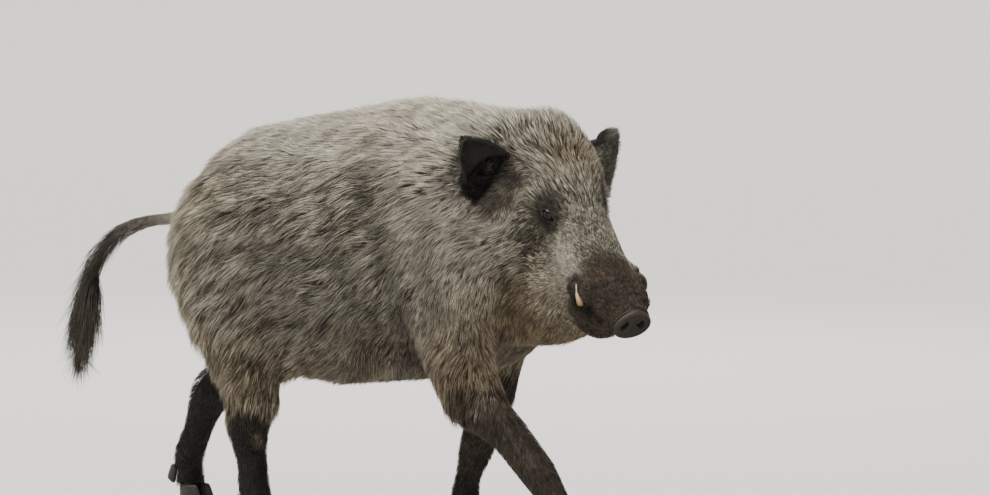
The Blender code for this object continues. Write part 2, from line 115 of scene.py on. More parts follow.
def mixed(first, second, share):
    """The first value, going over to the second as the share rises from 0 to 1."""
    return first * (1 - share) + second * share


def unit(vectors):
    return vectors / np.maximum(np.linalg.norm(vectors, axis=1, keepdims=True), 1e-9)


def with_bumps(values, points, bumps):
    """The values, raised by an amount at each place of a list."""
    for amount, place, reach in bumps:
        values = values + amount * bump_at(points, place, reach)
    return values


def wander(points, wavelength, seed, waves=9):
    """A smooth random field between about -1 and 1."""
    dice = np.random.default_rng(seed)
    total = np.zeros(len(points))
    for _ in range(waves):
        heading = dice.normal(size=3)
        heading *= 2 * math.pi / (wavelength * dice.uniform(0.7, 1.5) * np.linalg.norm(heading))
        total += np.sin(points @ heading + dice.uniform(0, 2 * math.pi))
    return total / math.sqrt(waves / 2) / 1.6


def rows_of(items, key, width=3, kind=np.float32):
    """One property of all of a mesh's items, as the rows of an array."""
    flat = np.empty(len(items) * width, kind)
    items.foreach_get(key, flat)
    return flat.reshape(-1, width)


def points_of(mesh):
    return rows_of(mesh.vertices, "co").astype(float)


def normals_of(mesh):
    return rows_of(mesh.vertex_normals, "vector").astype(float)


def set_points(mesh, points):
    mesh.vertices.foreach_set("co", np.asarray(points, np.float32).ravel())
    mesh.update()


def one_side(points):
    """The points folded over onto the boar's left side."""
    return np.stack([points[:, 0], np.abs(points[:, 1]), points[:, 2]], axis=1)


def measured(points, origin, *axes):
    """How far points lie from an origin along each of these axes."""
    return [(points - origin) @ axis for axis in axes]


def nearest_among(places, points):
    """The number of the place nearest to each point."""
    tree = kdtree.KDTree(len(places))
    for number, place in enumerate(places):
        tree.insert(place, number)
    tree.balance()
    return [tree.find(point)[1] for point in points]


def put_attribute(mesh, name, values):
    layer = mesh.attributes.new(name, "FLOAT", "POINT")
    layer.data.foreach_set("value", np.asarray(values, np.float32))


print("halfway up a ramp from 0 to 1:", ramp(0.5, 0, 1))

# %% [markdown]
# The next helpers do what a hand does in Blender's window: select an object, name the one just added,
# turn faces outwards, paint a vertex group, add and apply modifiers, and inset faces ring by ring.


# %% Helpers for objects
def select_only(obj):
    for other in bpy.context.selected_objects:
        other.select_set(False)
    obj.select_set(True)
    bpy.context.view_layer.objects.active = obj


def named(name):
    """The object that was just added, under this name."""
    made = bpy.context.object
    made.name = made.data.name = name
    return made


def aim(obj, way):
    """Turns a lamp or a camera so that it looks this way, upright."""
    obj.rotation_mode = "QUATERNION"
    obj.rotation_quaternion = way.to_track_quat("-Z", "Y")


def new_object(name, data):
    made = bpy.data.objects.new(name, data)
    bpy.context.scene.collection.objects.link(made)
    return made


def face_outward(obj, merge=0):
    """Turns an object's faces outwards, after points closer than `merge` are joined."""
    select_only(obj)
    bpy.ops.object.mode_set(mode="EDIT")
    bpy.ops.mesh.select_all(action="SELECT")
    if merge:
        bpy.ops.mesh.remove_doubles(threshold=merge)
    bpy.ops.mesh.normals_make_consistent(inside=False)
    bpy.ops.object.mode_set(mode="OBJECT")


def set_group(obj, name, weights):
    """A vertex group with these weights, in steps of a tenth."""
    group = obj.vertex_groups.new(name=name)
    steps = np.round(weights * 10).astype(int)
    for step in range(1, 11):
        group.add(np.nonzero(steps == step)[0].tolist(), step / 10, "REPLACE")


def add_modifier(obj, kind, **settings):
    modifier = obj.modifiers.new(kind.lower(), kind)
    for setting, value in settings.items():
        setattr(modifier, setting, value)


def apply_all(obj):
    select_only(obj)
    for modifier in list(obj.modifiers):
        bpy.ops.object.modifier_apply(modifier=modifier.name)


def inset_rings(count, thickness):
    """Rings of faces inside the selected one."""
    bpy.ops.object.mode_set(mode="EDIT")
    for _ in range(count):
        bpy.ops.mesh.inset(thickness=thickness)
    bpy.ops.object.mode_set(mode="OBJECT")


# %% [markdown]
# ## The skin
# On the animal, trunk, neck, head and legs are one skin. The solids are parted by cuts of less than
# half a millimetre, so copies of them are swollen a little until they overlap, joined, and remeshed
# into one closed surface. Remeshing at 5 mm keeps the eye line, the lips and the ears.

# %% One surface from the solids of flesh
LEGS = [f"{leg}leg_{side}" for leg in ("fore", "hind") for side in ("right", "left")]
FLESH = ["trunk", "neck", "head", "lower_jaw", "ear_right", "ear_left", "tail_base", "tail_brush"]
FLESH += [f"{leg}_{length}" for leg in LEGS for length in ("upper", "lower", "foot")]
OVERLAP = 0.0012
SKIN_VOXEL = 0.005


def copied_form(name):
    """A copy of a solid with its loose triangles joined up."""
    form = bmesh.new()
    form.from_mesh(NODES[name].data)
    bmesh.ops.remove_doubles(form, verts=form.verts, dist=1e-5)
    return form


def swollen_form(name):
    """A copy of a solid, swollen until it overlaps its neighbours."""
    form = copied_form(name)
    form.normal_update()
    for vert in form.verts:
        vert.co += vert.normal * OVERLAP
    return form


SOFT_PADS = (  # place and half sizes in the head's frame
    ((0.198, 0.049, -0.069), (0.022, 0.0170, 0.017)),  # lip roll at the tusk's root
    ((0.208, 0.054, -0.013), (0.024, 0.0160, 0.027)),  # fold of the upper lip in front of the tusk
    ((0.240, 0.0425, -0.014), (0.036, 0.0150, 0.024)),  # side of the snout before it
    ((0.180, 0.040, -0.078), (0.042, 0.0270, 0.031)),  # lip round the tusk
    ((0.214, 0.026, -0.074), (0.040, 0.0215, 0.022)),  # lip in front of it
    ((0.003, 0.047, 0.004), (0.019, 0.0190, 0.019)),  # behind the eyeball
)


def soft_pads(form):
    """Fills the mouth's corners and the eye sockets of the solids, where the skin closes them."""
    for (x, y, z), half in SOFT_PADS:
        for side in (-1, 1):
            matrix = HEAD @ Matrix.Translation((x, side * y, z)) @ Matrix.Diagonal((*half, 1))
            bmesh.ops.create_icosphere(form, subdivisions=4, radius=1, matrix=matrix)


def joined_mesh(name, names):
    joined = bpy.data.meshes.new(name)
    whole = bmesh.new()
    for node in names:
        form = swollen_form(node)
        form.to_mesh(joined)
        form.free()
        whole.from_mesh(joined)
    soft_pads(whole)
    whole.to_mesh(joined)
    whole.free()
    return joined


skin = new_object("boar_skin", joined_mesh("boar_skin", [*FLESH, "eye_left", "eye_right"]))
select_only(skin)
skin.data.remesh_voxel_size = SKIN_VOXEL
skin.data.remesh_voxel_adaptivity = 0
bpy.ops.object.voxel_remesh()
print("one surface:", len(skin.data.vertices), "points")

# %% [markdown]
# Many choices below depend on which part of the body a point belongs to. Points are scattered evenly
# over each solid, and a point of the skin takes the name of the nearest one.

# %% Which part of the body a point belongs to
SCATTER = 0.009  # metres between the scattered points


def triangles_of(mesh):
    """The numbers of the three points of each triangle of a mesh."""
    mesh.calc_loop_triangles()
    return rows_of(mesh.loop_triangles, "vertices", 3, np.int32)


def doubled_areas(corners):
    """Twice the area of each triangle."""
    first, second, third = corners[:, 0], corners[:, 1], corners[:, 2]
    return np.linalg.norm(np.cross(second - first, third - first), axis=1)


def within(corners, dice):
    """A random place in each triangle, with its corners' shares."""
    a, b = dice.random((2, len(corners)))
    flip = a + b > 1
    a[flip], b[flip] = 1 - a[flip], 1 - b[flip]
    first, second, third = corners[:, 0], corners[:, 1], corners[:, 2]
    places = first + a[:, None] * (second - first) + b[:, None] * (third - first)
    return places, np.stack([1 - a - b, a, b], axis=1)


def scatter(corners, spacing, dice):
    """Points spread evenly over triangles, about this far apart."""
    area = doubled_areas(corners)
    count = int(area.sum() / 2 / spacing**2) + 20
    dice.random(3)  # the first three numbers go unused
    picked = np.searchsorted(np.cumsum(area) / area.sum(), dice.random(count))
    return within(corners[np.minimum(picked, len(corners) - 1)], dice)[0]


def nearest_parts(points):
    """The number in FLESH of the solid nearest to each point."""
    dice = np.random.default_rng(3)
    places, owners = [], []
    for number, name in enumerate(FLESH):
        mesh = NODES[name].data
        found = scatter(points_of(mesh)[triangles_of(mesh)], SCATTER, dice)
        places.append(found)
        owners.append(np.full(len(found), number))
    return np.concatenate(owners)[nearest_among(np.concatenate(places), points)]


def spread(values, mesh, passes):
    """Values at a mesh's points, evened out along its edges."""
    one, two = rows_of(mesh.edges, "vertices", 2, np.int32).T
    count = np.bincount(one, minlength=len(values)) + np.bincount(two, minlength=len(values)) + 1.0
    for _ in range(passes):
        total = np.bincount(one, values[two], len(values)) + np.bincount(two, values[one], len(values))
        values = (total + values) / count
    return values


def part_weight(group, mesh, owners, passes=4):
    """1 on the parts whose names start with a word, 0 elsewhere, with a soft edge."""
    members = [number for number, name in enumerate(FLESH) if name.startswith(group)]
    return spread(np.isin(owners, members).astype(float), mesh, passes)


skin_parts = nearest_parts(points_of(skin.data))
print("points on the trunk:", int((skin_parts == 0).sum()), "of", len(skin_parts))

# %% [markdown]
# The trunk and the thighs are broad and plain and lie under long hair, so they need fewer faces than
# the head. A Decimate modifier thins them, held to a vertex group, and a Smooth modifier takes out
# the flats that the solids have there. The lips get a Smooth modifier of their own. Smoothing shrinks
# a form, so the skin is then put back to the solids' surface, on average.

# %% Thin and smooth the parts under long hair
BROAD = "under the long coat"
EAR_BASES = {
    "ear_right": ((-0.081, -0.087, -0.034), (-0.44, -0.63, 0.70), (0.82, -0.20, 0.36)),
    "ear_left": ((-0.081, 0.079, -0.018), (-0.75, 0.62, 0.10), (0.55, 0.55, 0.45)),
}
EAR_LENGTH = 0.172


def ear_frame(name):
    """The ear's base, its long axis, its width axis and the way its hollow faces, in the world."""
    base, length, hollow = (np.array(v, float) for v in EAR_BASES[name])
    length /= np.linalg.norm(length)
    hollow -= length * hollow.dot(length)
    hollow /= np.linalg.norm(hollow)
    axes = head_vectors(np.array([length, np.cross(hollow, length), hollow]))
    return from_head(base[None])[0], *axes


def ear_place(points, name):
    """Along the ear from 0 at its base to 1 at its tip, across it, and out of its hollow, in metres."""
    along, across, out = measured(points, *ear_frame(name))
    return along / EAR_LENGTH, across, out


def face_weight(points):
    """1 from the eyes to the snout, fading out over the crown and the cheeks."""
    local = to_head(points)
    middle = ramp(np.abs(local[:, 1]), 0.118, 0.092)
    return ramp(local[:, 0], -0.13, -0.04) * ramp(local[:, 2], -0.24, -0.17) * middle


def lip_weight(points):
    """1 over the lips, the tusks' roots and the back of the jowls, which have no sharp edges."""
    local = to_head(points)
    soft = [bump_at(local, (0.200, side * 0.035, -0.075), (0.07, 0.05, 0.040)) for side in (-1, 1)]
    soft += [1.8 * bump_at(local, (-0.01, side * 0.130, -0.07), (0.09, 0.07, 0.15)) for side in (-1, 1)]
    return np.minimum(sum(soft), 1)


def surface_tree(mesh):
    """The mesh's surface, ready to be asked for its nearest place."""
    return BVHTree.FromPolygons(points_of(mesh).tolist(), [tuple(face.vertices) for face in mesh.polygons])


def regain(mesh, surface, passes):
    """Puts a smoothed mesh back to a surface, on average, so that it keeps its size but not its flats."""
    points, normals = points_of(mesh), normals_of(mesh)
    nearest = np.array([surface.find_nearest(point)[0] for point in points])
    gap = np.clip(np.sum((nearest - points) * normals, axis=1), -0.03, 0.03)
    set_points(mesh, points + normals * spread(gap, mesh, passes)[:, None])
    return np.abs(gap).mean()


rough_surface = surface_tree(skin.data)
skin_points = points_of(skin.data)
fine = [part_weight(group, skin.data, skin_parts) for group in ("ear", "tail")]
fine += [face_weight(skin_points), 0.7 * ramp(skin_points[:, 2], 0.34, 0.24)]  # the face and the lower legs
set_group(skin, BROAD, 1 - np.maximum.reduce(fine))
add_modifier(skin, "DECIMATE", ratio=0.30, vertex_group=BROAD)
add_modifier(skin, "SMOOTH", factor=0.5, iterations=26, vertex_group=BROAD)
add_modifier(skin, "SMOOTH", factor=0.4, iterations=3)
apply_all(skin)
set_group(skin, "lips", np.clip(1.6 * lip_weight(points_of(skin.data)), 0, 1))
add_modifier(skin, "SMOOTH", factor=0.5, iterations=30, vertex_group="lips")
apply_all(skin)
gaps = [regain(skin.data, rough_surface, passes) for passes in (16, 9, 6)]
print("thinned:", len(skin.data.vertices), "points, mean gaps", [round(gap * 1000, 2) for gap in gaps], "mm")

# %% [markdown]
# The solids reach to the tips of the coat, so the skin lies deeper by the height of the hair: a little
# over two centimetres on the trunk, hardly anything on the muzzle and the ears. `coat_height` says how
# tall the coat stands at any place, and both the skin and the tufts use it. Folds of the hide behind
# the shoulder, at the flank, on the jowl and on the neck sink the skin a little more.


# %% How tall the coat stands
TRUNK_COAT = 0.0230
HEAD_COAT = 0.0120
MUZZLE_COAT = 0.0034
SHANK_COAT = 0.0046
EAR_COAT = 0.0020
TALL_COAT = (  # how much taller, where, and how far that reaches
    (0.006, (0.25, 0, 0.93), (0.35, 0.10, 0.09)),  # mane over the withers
    (0.004, (0.45, 0, 0.55), (0.16, 0.20, 0.14)),  # throat and chest
)
BRUSH_LEVELS = (0.352, 0.400, 0.455, 0.510, 0.558, 0.594, 0.650)
BRUSH_COAT = (0.000, 0.007, 0.020, 0.026, 0.022, 0.014, 0.0045)


def coat_height(points, ear, tail):
    local = to_head(points)
    height = with_bumps(TRUNK_COAT, points, TALL_COAT)
    height = mixed(height, HEAD_COAT, ramp(local[:, 0], -0.20, -0.05))
    cheek = sum(bump_at(local, (-0.06, side * 0.10, -0.11), (0.14, 0.09, 0.09)) for side in (-1, 1))
    height += 0.0075 * np.minimum(cheek, 1)
    muzzle = ramp(local[:, 0], 0.00, 0.085) * ramp(local[:, 2], -0.26, -0.18)
    height = mixed(height, MUZZLE_COAT, muzzle)
    for side in (-1, 1):
        eye = (EYE_PLACE.x, side * EYE_PLACE.y, EYE_PLACE.z)
        height *= 1 - 0.75 * bump_at(local, eye, (0.040, 0.034, 0.036))
    height = mixed(height, SHANK_COAT, ramp(points[:, 2], 0.40, 0.20))
    height = mixed(height, EAR_COAT, ear)
    return mixed(height, np.interp(points[:, 2], BRUSH_LEVELS, BRUSH_COAT), tail)


def skin_traits(mesh):
    """Each point's solid, and how much it belongs to an ear and to the tail."""
    owners = nearest_parts(points_of(mesh))
    return owners, part_weight("ear", mesh, owners), part_weight("tail", mesh, owners)


SHOULDER_FOLD = (
    (0.170, 0.190, 0.770),
    (0.192, 0.208, 0.700),
    (0.223, 0.212, 0.632),
    (0.240, 0.210, 0.554),
    (0.226, 0.172, 0.461),
    (0.200, 0.120, 0.400),
)
FLANK_FOLD = ((-0.075, 0.220, 0.620), (-0.071, 0.213, 0.536), (-0.085, 0.185, 0.451))
JOWL_FOLD = ((0.470, 0.135, 0.685), (0.474, 0.125, 0.631), (0.465, 0.102, 0.561))
NECK_FOLD = ((0.400, 0.180, 0.800), (0.345, 0.200, 0.720), (0.335, 0.200, 0.620), (0.350, 0.190, 0.530))
DEEPEST_FOLD = 0.015
FOLDS = (  # depth, half width, and places along the boar's left side
    (DEEPEST_FOLD, 0.040, SHOULDER_FOLD),
    (0.010, 0.042, FLANK_FOLD),
    (0.007, 0.016, JOWL_FOLD),
    (0.006, 0.026, NECK_FOLD),
)


def near_path(points, path):
    """The distance from points to a path of places."""
    best = np.full(len(points), 9.0)
    for start, end in zip(np.array(path), np.array(path)[1:]):
        run = end - start
        share = np.clip((points - start) @ run / run.dot(run), 0, 1)
        best = np.minimum(best, np.linalg.norm(points - start - share[:, None] * run, axis=1))
    return best


def folds(points):
    """How deep the folds of the hide are, on both sides, and how much of the light they lose."""
    depth, painted_shade = np.zeros((2, len(points)))
    for deep, width, path in FOLDS:
        near = hump(near_path(one_side(points), path), width)
        depth += deep * near
        painted_shade = np.maximum(painted_shade, near * deep / DEEPEST_FOLD)
    return depth, painted_shade


EAR_SKIRTS = ((-0.072, -0.128, 0.004), (-0.088, 0.104, 0.034))
SKIRT_REACH = (0.034, 0.030, 0.036)


def ear_skirt(points):
    """1 in front of the base of each ear, where the hair is short and the hollow shows."""
    local = to_head(points)
    return np.minimum(sum(bump_at(local, place, SKIRT_REACH) for place in EAR_SKIRTS), 1)


skin_parts, ear_part, tail_part = skin_traits(skin.data)
skin_points = points_of(skin.data)
depth = coat_height(skin_points, ear_part, tail_part) + 0.012 * ear_skirt(skin_points) * (1 - ear_part)
depth = spread(depth + folds(skin_points)[0], skin.data, 3)
set_points(skin.data, skin_points - normals_of(skin.data) * depth[:, None])
set_group(skin, "relax", (1 - ear_part) * (1 - 0.7 * tail_part))
add_modifier(skin, "SMOOTH", factor=0.5, iterations=7, vertex_group="relax")
apply_all(skin)
print("coat height from", round(depth.min() * 1000, 1), "to", round(depth.max() * 1000, 1), "mm")

# %% [markdown]
# ## The face
# Eyelids, lips and the folds behind the snout need small faces, so only the skin there is subdivided:
# once over the muzzle, the ears' cups and the eyes, again behind the disc and around the eyes, and a
# third time close to the eyes.

# %% Small faces where the face needs them
EYES = {"right": -1, "left": 1}
EYE_SUNK = 0.0045  # the eyeball sits this much deeper than the solid one


def eye_centre(side):
    """The middle of the eyeball, in the head's frame."""
    out = Vector(EYE_OUT).normalized()
    place = EYE_PLACE - out * EYE_SUNK
    return np.array((place.x, side * place.y, place.z))


def refine(obj, picked):
    """Splits each face that has a picked point, in four."""
    mesh = obj.data
    select_only(obj)
    corner = rows_of(mesh.loops, "vertex_index", 1, np.int32)[:, 0]
    inside = np.add.reduceat(picked[corner], [face.loop_start for face in mesh.polygons]) > 0
    for items in (mesh.vertices, mesh.edges):
        items.foreach_set("select", np.zeros(len(items), bool))
    mesh.polygons.foreach_set("select", inside)
    bpy.ops.object.mode_set(mode="EDIT")
    bpy.ops.mesh.select_mode(type="FACE")
    bpy.ops.mesh.subdivide(number_cuts=1, smoothness=0)
    bpy.ops.mesh.select_all(action="SELECT")
    bpy.ops.mesh.quads_convert_to_tris()
    bpy.ops.mesh.select_all(action="DESELECT")
    bpy.ops.object.mode_set(mode="OBJECT")


def near_eyes(local, reach):
    return np.minimum(*[np.linalg.norm(local - eye_centre(side), axis=1) for side in EYES.values()]) < reach


CUPS = {  # of each ear: the top and the foot of its front rim, and how deep the hollow is
    "ear_right": ((-0.094, -0.084, 0.053), (-0.062, -0.143, -0.034), 0.028),
    "ear_left": ((-0.125, 0.086, 0.074), (-0.092, 0.140, 0.010), 0.012),
}
CUP_BOW = 0.010  # the rim bows forward by this much half-way down
CUP_WIDTH = 0.110
CUP_BACKS = ((-0.152, -0.136, 0.002), (-0.155, 0.122, 0.040))  # the neck, seen inside the hollow
CUP_FEET = ((-0.137, -0.146, -0.029), (-0.140, 0.132, 0.010))  # just below the hollow


def cup_axes(name):
    """Down the rim, back into the hollow and out of it, in the head's frame, with the rim's middle."""
    top, foot, _ = (np.array(v) for v in CUPS[name])
    out = np.array(EAR_BASES[name][2])
    down = (foot - top) / np.linalg.norm(foot - top)
    out = out - down * out.dot(down)
    out /= np.linalg.norm(out)
    inward = np.cross(out, down)
    inward *= -np.sign(inward[0])
    return down, inward, out, (top + foot) / 2


def at_cup_feet(local):
    """1 just below the hollow of each ear, where the hair is short and dark, the dark partly painted shade.
    """
    return sum(bump_at(local, place, (0.024, 0.030, 0.022)) for place in CUP_FEET)


def in_cups(points):
    """How far each point lies in the hollow of an ear's base, on its front rim and just before the rim."""
    local = to_head(points)
    inside, rim, before = np.zeros((3, len(local)))
    for name, (top, foot, _) in CUPS.items():
        down, inward, out, middle = cup_axes(name)
        along, back, height = measured(local, middle, down, inward, out)
        along /= np.linalg.norm(np.subtract(foot, top)) / 2
        back += CUP_BOW * np.clip(1 - along**2, 0, 1)
        ends = ramp(np.abs(along), 1.30, 0.85) * (np.abs(height) < 0.06)
        inside += ramp(back, 0.001, 0.022) * ramp(back, CUP_WIDTH, CUP_WIDTH - 0.03) * ends
        rim += hump(back, 0.0075) * ends
        before += ramp(back, -0.040, -0.015) * ramp(back, 0.010, 0.002) * ends
    inside += 1.6 * sum(bump_at(local, place, (0.030, 0.036, 0.030)) for place in CUP_BACKS)
    return np.minimum(inside, 1), np.minimum(rim, 1), np.minimum(before, 1)


local = to_head(points_of(skin.data))
muzzle = (local[:, 0] > 0.13) & (local[:, 2] > -0.15)
refine(skin, muzzle | near_eyes(local, 0.046) | (np.maximum(*in_cups(points_of(skin.data))[:2]) > 0.2))
local = to_head(points_of(skin.data))
behind_disc = (local[:, 0] > 0.235) & (local[:, 2] > -0.065)
refine(skin, behind_disc | near_eyes(local, 0.030))
refine(skin, near_eyes(to_head(points_of(skin.data)), 0.022))
print("the skin has", len(skin.data.polygons), "faces")

# %% [markdown]
# The hollow of an ear runs on down into the side of the head, in front of the ear's base. The skin is
# sunk there, and the hollow's front rim stands up a little, so the ear is a cup and not a flat leaf.


# %% Ear cups
def sink_cups(mesh):
    points = points_of(mesh)
    local = to_head(points)
    owners = nearest_parts(points)
    on_ear = part_weight("ear", mesh, owners, 3)
    inside, rim, _ = in_cups(points)
    for name, (_, _, deep) in CUPS.items():
        out = cup_axes(name)[2]
        side = local[:, 1] * out[1] > 0 if name == "ear_left" else local[:, 1] < 0
        shift = (0.30 * deep * rim - deep * np.minimum(1.8 * inside, 1)) * (1 - on_ear) * side
        local += spread(shift, mesh, 3)[:, None] * out
    set_points(mesh, from_head(local))


sink_cups(skin.data)
print("ear cups sunk", [round(cup[2] * 1000) for cup in CUPS.values()], "mm")

# %% [markdown]
# A lid is skin that lies over the eyeball. Each point of skin near the eye is moved in or out along the
# eye's axis: outside the almond-shaped opening onto a sphere a little larger than the eyeball, inside
# it to a place behind the eyeball's surface. The upper lid is heavier, with a fold above it.

# %% Eyelids
EYE_RADIUS = 0.0148
LID_THICKNESS = 0.0015
LID_REACH = (0.0200, 0.0320)  # plain skin starts and the lids end, from the middle of the eye
LID_EDGE = 0.0011  # skin this close to the opening is drawn to its edge
LID_BLEND = 0.0011
EYE_LENGTH = 0.0168  # half of the opening, corner to corner
TEAR_DUCT = 0.0052
EYE_OPEN_ABOVE = 0.0100
EYE_OPEN_BELOW = 0.0088


def eye_axes(side):
    """Forward along the lids, up, and out of the eye, in the head's frame."""
    out = Vector((EYE_OUT[0], side * EYE_OUT[1], EYE_OUT[2])).normalized()
    forward = Vector((1, 0, 0.10))
    forward = (forward - out * forward.dot(out)).normalized()
    up = out.cross(forward) * side
    return np.array(forward), np.array(up if up.z > 0 else -up), np.array(out)


def lid_centre(side):
    """The middle of the opening between the lids, in the head's frame."""
    return eye_centre(side) + EYE_RADIUS * eye_axes(side)[2]


def opening_edge(along, up):
    """How far above or below its axis the opening's edge lies. It runs out in a tear duct at the front."""
    length = np.where(along > 0, EYE_LENGTH + TEAR_DUCT, EYE_LENGTH)
    width = np.clip(1 - (along / length) ** 2, 0, 1) ** np.where(along > 0, 1.3, 0.75)
    open_above = EYE_OPEN_ABOVE * (1 - 0.35 * ramp(along, 0.004, 0.014))
    return np.where(up > 0, open_above, EYE_OPEN_BELOW) * width


def plane_height(along, above, height, ring):
    """The height of the plain skin round the eye, carried across it."""
    terms = np.stack([np.ones(len(along)), along, above, along**2, above**2], axis=1)
    fit = np.linalg.lstsq(terms[ring], height[ring], rcond=None)[0]
    return terms @ fit


def shape_lids(mesh):
    local = to_head(points_of(mesh))
    lid_mark = np.zeros(len(local))
    for side in EYES.values():
        forward, up, out = eye_axes(side)
        along, above, height = measured(local, eye_centre(side), forward, up, out)
        across = np.hypot(along, above)
        facing = (height > -0.030) & (across < LID_REACH[1])
        plain = plane_height(along, above, height, facing & (across > LID_REACH[0]))
        edge = opening_edge(along, above)
        inward = edge - np.abs(above)
        snapped = facing & (inward > 0) & (inward < LID_EDGE)
        moved_above = np.where(snapped, np.sign(above) * edge, above)
        across = np.hypot(along, moved_above)
        ball = np.sqrt(np.clip((EYE_RADIUS + LID_THICKNESS) ** 2 - across**2, 0, None))
        drape = plain + LID_BLEND * np.logaddexp(0, (ball - plain) / LID_BLEND)
        middle = ramp(np.abs(along), 0.017, 0.008)
        fold = hump(above - 0.0118 + 10 * along**2, 0.0015) * middle
        bag = hump(above + 0.0112 - 8 * along**2, 0.0018) * middle
        brow = hump(above - 0.0165, 0.0045) * ramp(np.abs(along + 0.002), 0.026, 0.008)
        front = ramp(along, 0.013, 0.015) * ramp(along, 0.026, 0.020)
        tear = hump(above + 0.55 * (along - 0.016), 0.0015) * front
        lid = drape - 0.0013 * fold - 0.0010 * bag + 0.0024 * brow - 0.0018 * tear
        shaped = mixed(height, lid, ramp(across, LID_REACH[1], LID_REACH[0]))
        hidden = np.sqrt(np.clip((EYE_RADIUS - 0.0030) ** 2 - across**2, 0, None)) - 0.001
        shaped = np.where(facing & (inward >= LID_EDGE), hidden, shaped)
        shift = np.where(facing, shaped - height, 0)[:, None] * out
        local = local + shift + np.where(snapped, moved_above - above, 0)[:, None] * up
        margin = np.clip(1.6 - np.abs(inward) / 0.0022, 0, 1) * (np.abs(along) < EYE_LENGTH + TEAR_DUCT)
        lid_mark = np.where(facing, np.maximum(lid_mark, margin), lid_mark)
    set_points(mesh, from_head(local))
    put_attribute(mesh, "lid", lid_mark)


shape_lids(skin.data)
print("lids shaped over eyeballs of", EYE_RADIUS * 2000, "mm")

# %% [markdown]
# The mouth is a line that runs back from under the disc to below the tusk, with the upper lip hanging
# over it. Four low ridges of skin cross the top of the muzzle behind the disc, where it wrinkles
# when the boar digs. Both are shallow, so they are pushed in and out along the skin's own normals.

# %% Lips, wrinkles and folds
DISC_FRONT = 0.304
DISC_RISE = -0.020
DISC_HALF = (0.0400, 0.0350)
MOUTH = ((0.255, -0.072), (0.235, -0.080), (0.205, -0.083), (0.175, -0.083), (0.135, -0.090), (0.100, -0.100))
WRINKLES = (0.268, 0.256, 0.243, 0.229)
WRINKLE_HEIGHTS = (0.0009, 0.0007, 0.0004, 0.0003)
WRINKLE_BOW = 3.2  # they curve back on both sides of the nose
LIP_CREASE = (
    (0.166, 0.079, -0.024),
    (0.178, 0.071, -0.006),
    (0.193, 0.060, -0.006),
    (0.205, 0.052, -0.034),
    (0.212, 0.045, -0.062),
)


def lip_crease(points):
    """1 in the crease that the upper lip makes over the tusk and in front of it."""
    return hump(near_path(one_side(to_head(points)), LIP_CREASE), 0.0058)


def near_line(across, along, line):
    """The distance from points to a line of corners, in two directions."""
    best = np.full(len(across), 1.0)
    for (x0, z0), (x1, z1) in zip(line, line[1:]):
        run = np.array((x1 - x0, z1 - z0))
        share = np.clip(((across - x0) * run[0] + (along - z0) * run[1]) / run.dot(run), 0, 1)
        best = np.minimum(best, np.hypot(across - x0 - share * run[0], along - z0 - share * run[1]))
    return best


def shape_muzzle(mesh):
    points = points_of(mesh)
    local = to_head(points)
    x, y, z = local.T
    line = near_line(x, z, MOUTH)
    front = ramp(x, 0.085, 0.110) * (np.abs(y) < 0.09)
    push = -0.0042 * hump(line, 0.0032) * front
    push += 0.0012 * hump(line - 0.0070, 0.0045) * front * (z > -0.095)
    top = ramp(z, -0.045, -0.005)
    for number, (place, height) in enumerate(zip(WRINKLES, WRINKLE_HEIGHTS)):
        bow = place - WRINKLE_BOW * y**2 + 0.0015 * np.sin(y * 160 + number * 2)
        push += height * hump(x - bow, 0.0028) * top
        push -= height * hump(x - bow - 0.0058, 0.0024) * top
    side = ramp(z, -0.005, -0.030) * ramp(z, -0.075, -0.055) * ramp(x, 0.205, 0.225)
    push += 0.0004 * np.sin((x - 0.35 * z) * 480) * side * ramp(np.abs(y), 0.015, 0.03)
    push -= 0.0032 * lip_crease(points)
    set_points(mesh, points + normals_of(mesh) * push[:, None])


def meet_disc(mesh):
    """The end of the muzzle is drawn forward and out, until it closes round the disc's back."""
    local = to_head(points_of(mesh))
    near = ramp(local[:, 0], 0.262, 0.280) * (local[:, 2] > -0.075)
    across, above = local[:, 1] / DISC_HALF[0], (local[:, 2] - DISC_RISE) / DISC_HALF[1]
    radius = np.maximum(np.hypot(across, above), 1e-6)
    wanted = radius * 0.955 / np.maximum(radius, 0.70)
    share = near * ramp(radius, 0.30, 0.70)
    grow = 1 + (wanted / radius - 1) * share
    local[:, 1] *= grow
    local[:, 2] = DISC_RISE + (local[:, 2] - DISC_RISE) * grow
    local[:, 0] += 0.0150 * ramp(local[:, 0], 0.262, 0.282) * (local[:, 2] > -0.075)
    set_points(mesh, from_head(local))


shape_muzzle(skin.data)
meet_disc(skin.data)
print("mouth line and", len(WRINKLES), "wrinkles")

# %% [markdown]
# ## The eyes
# A boar's eye is small, dark and wet. The ball starts as a UV sphere of the solid eye's size, and the
# cornea is a slight bulge on the side that looks out. Each point keeps how far it lies from the middle
# of the pupil, so the finish can colour the pupil, the iris and the white without an image.


# %% Eyeballs
def add_piece(piece, slot, *replaced):
    """Hands a finished piece to the frame: it rides on the root and stands for some solids."""
    select_only(piece)
    bpy.ops.object.transform_apply(location=True, rotation=True, scale=True)
    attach(piece, "root")
    if replaced:
        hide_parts(*replaced)
    return piece


def make_eye(name, side):
    bpy.ops.object.select_all(action="DESELECT")
    bpy.ops.mesh.primitive_uv_sphere_add(segments=40, ring_count=24, radius=EYE_RADIUS)
    ball = named("eyeball_" + name)
    points = points_of(ball.data)
    axis = points[:, 2] / EYE_RADIUS
    points[:, 2] += 0.0009 * ramp(axis, 0.80, 1.0)
    put_attribute(ball.data, "from_pupil", np.hypot(points[:, 0] * 0.8, points[:, 1]) + (axis < 0) * 0.02)
    set_points(ball.data, from_head(points @ np.array(eye_axes(side)) + eye_centre(side)))
    face_outward(ball)
    bpy.ops.object.shade_smooth()
    return add_piece(ball, "eye", "eye_" + name)


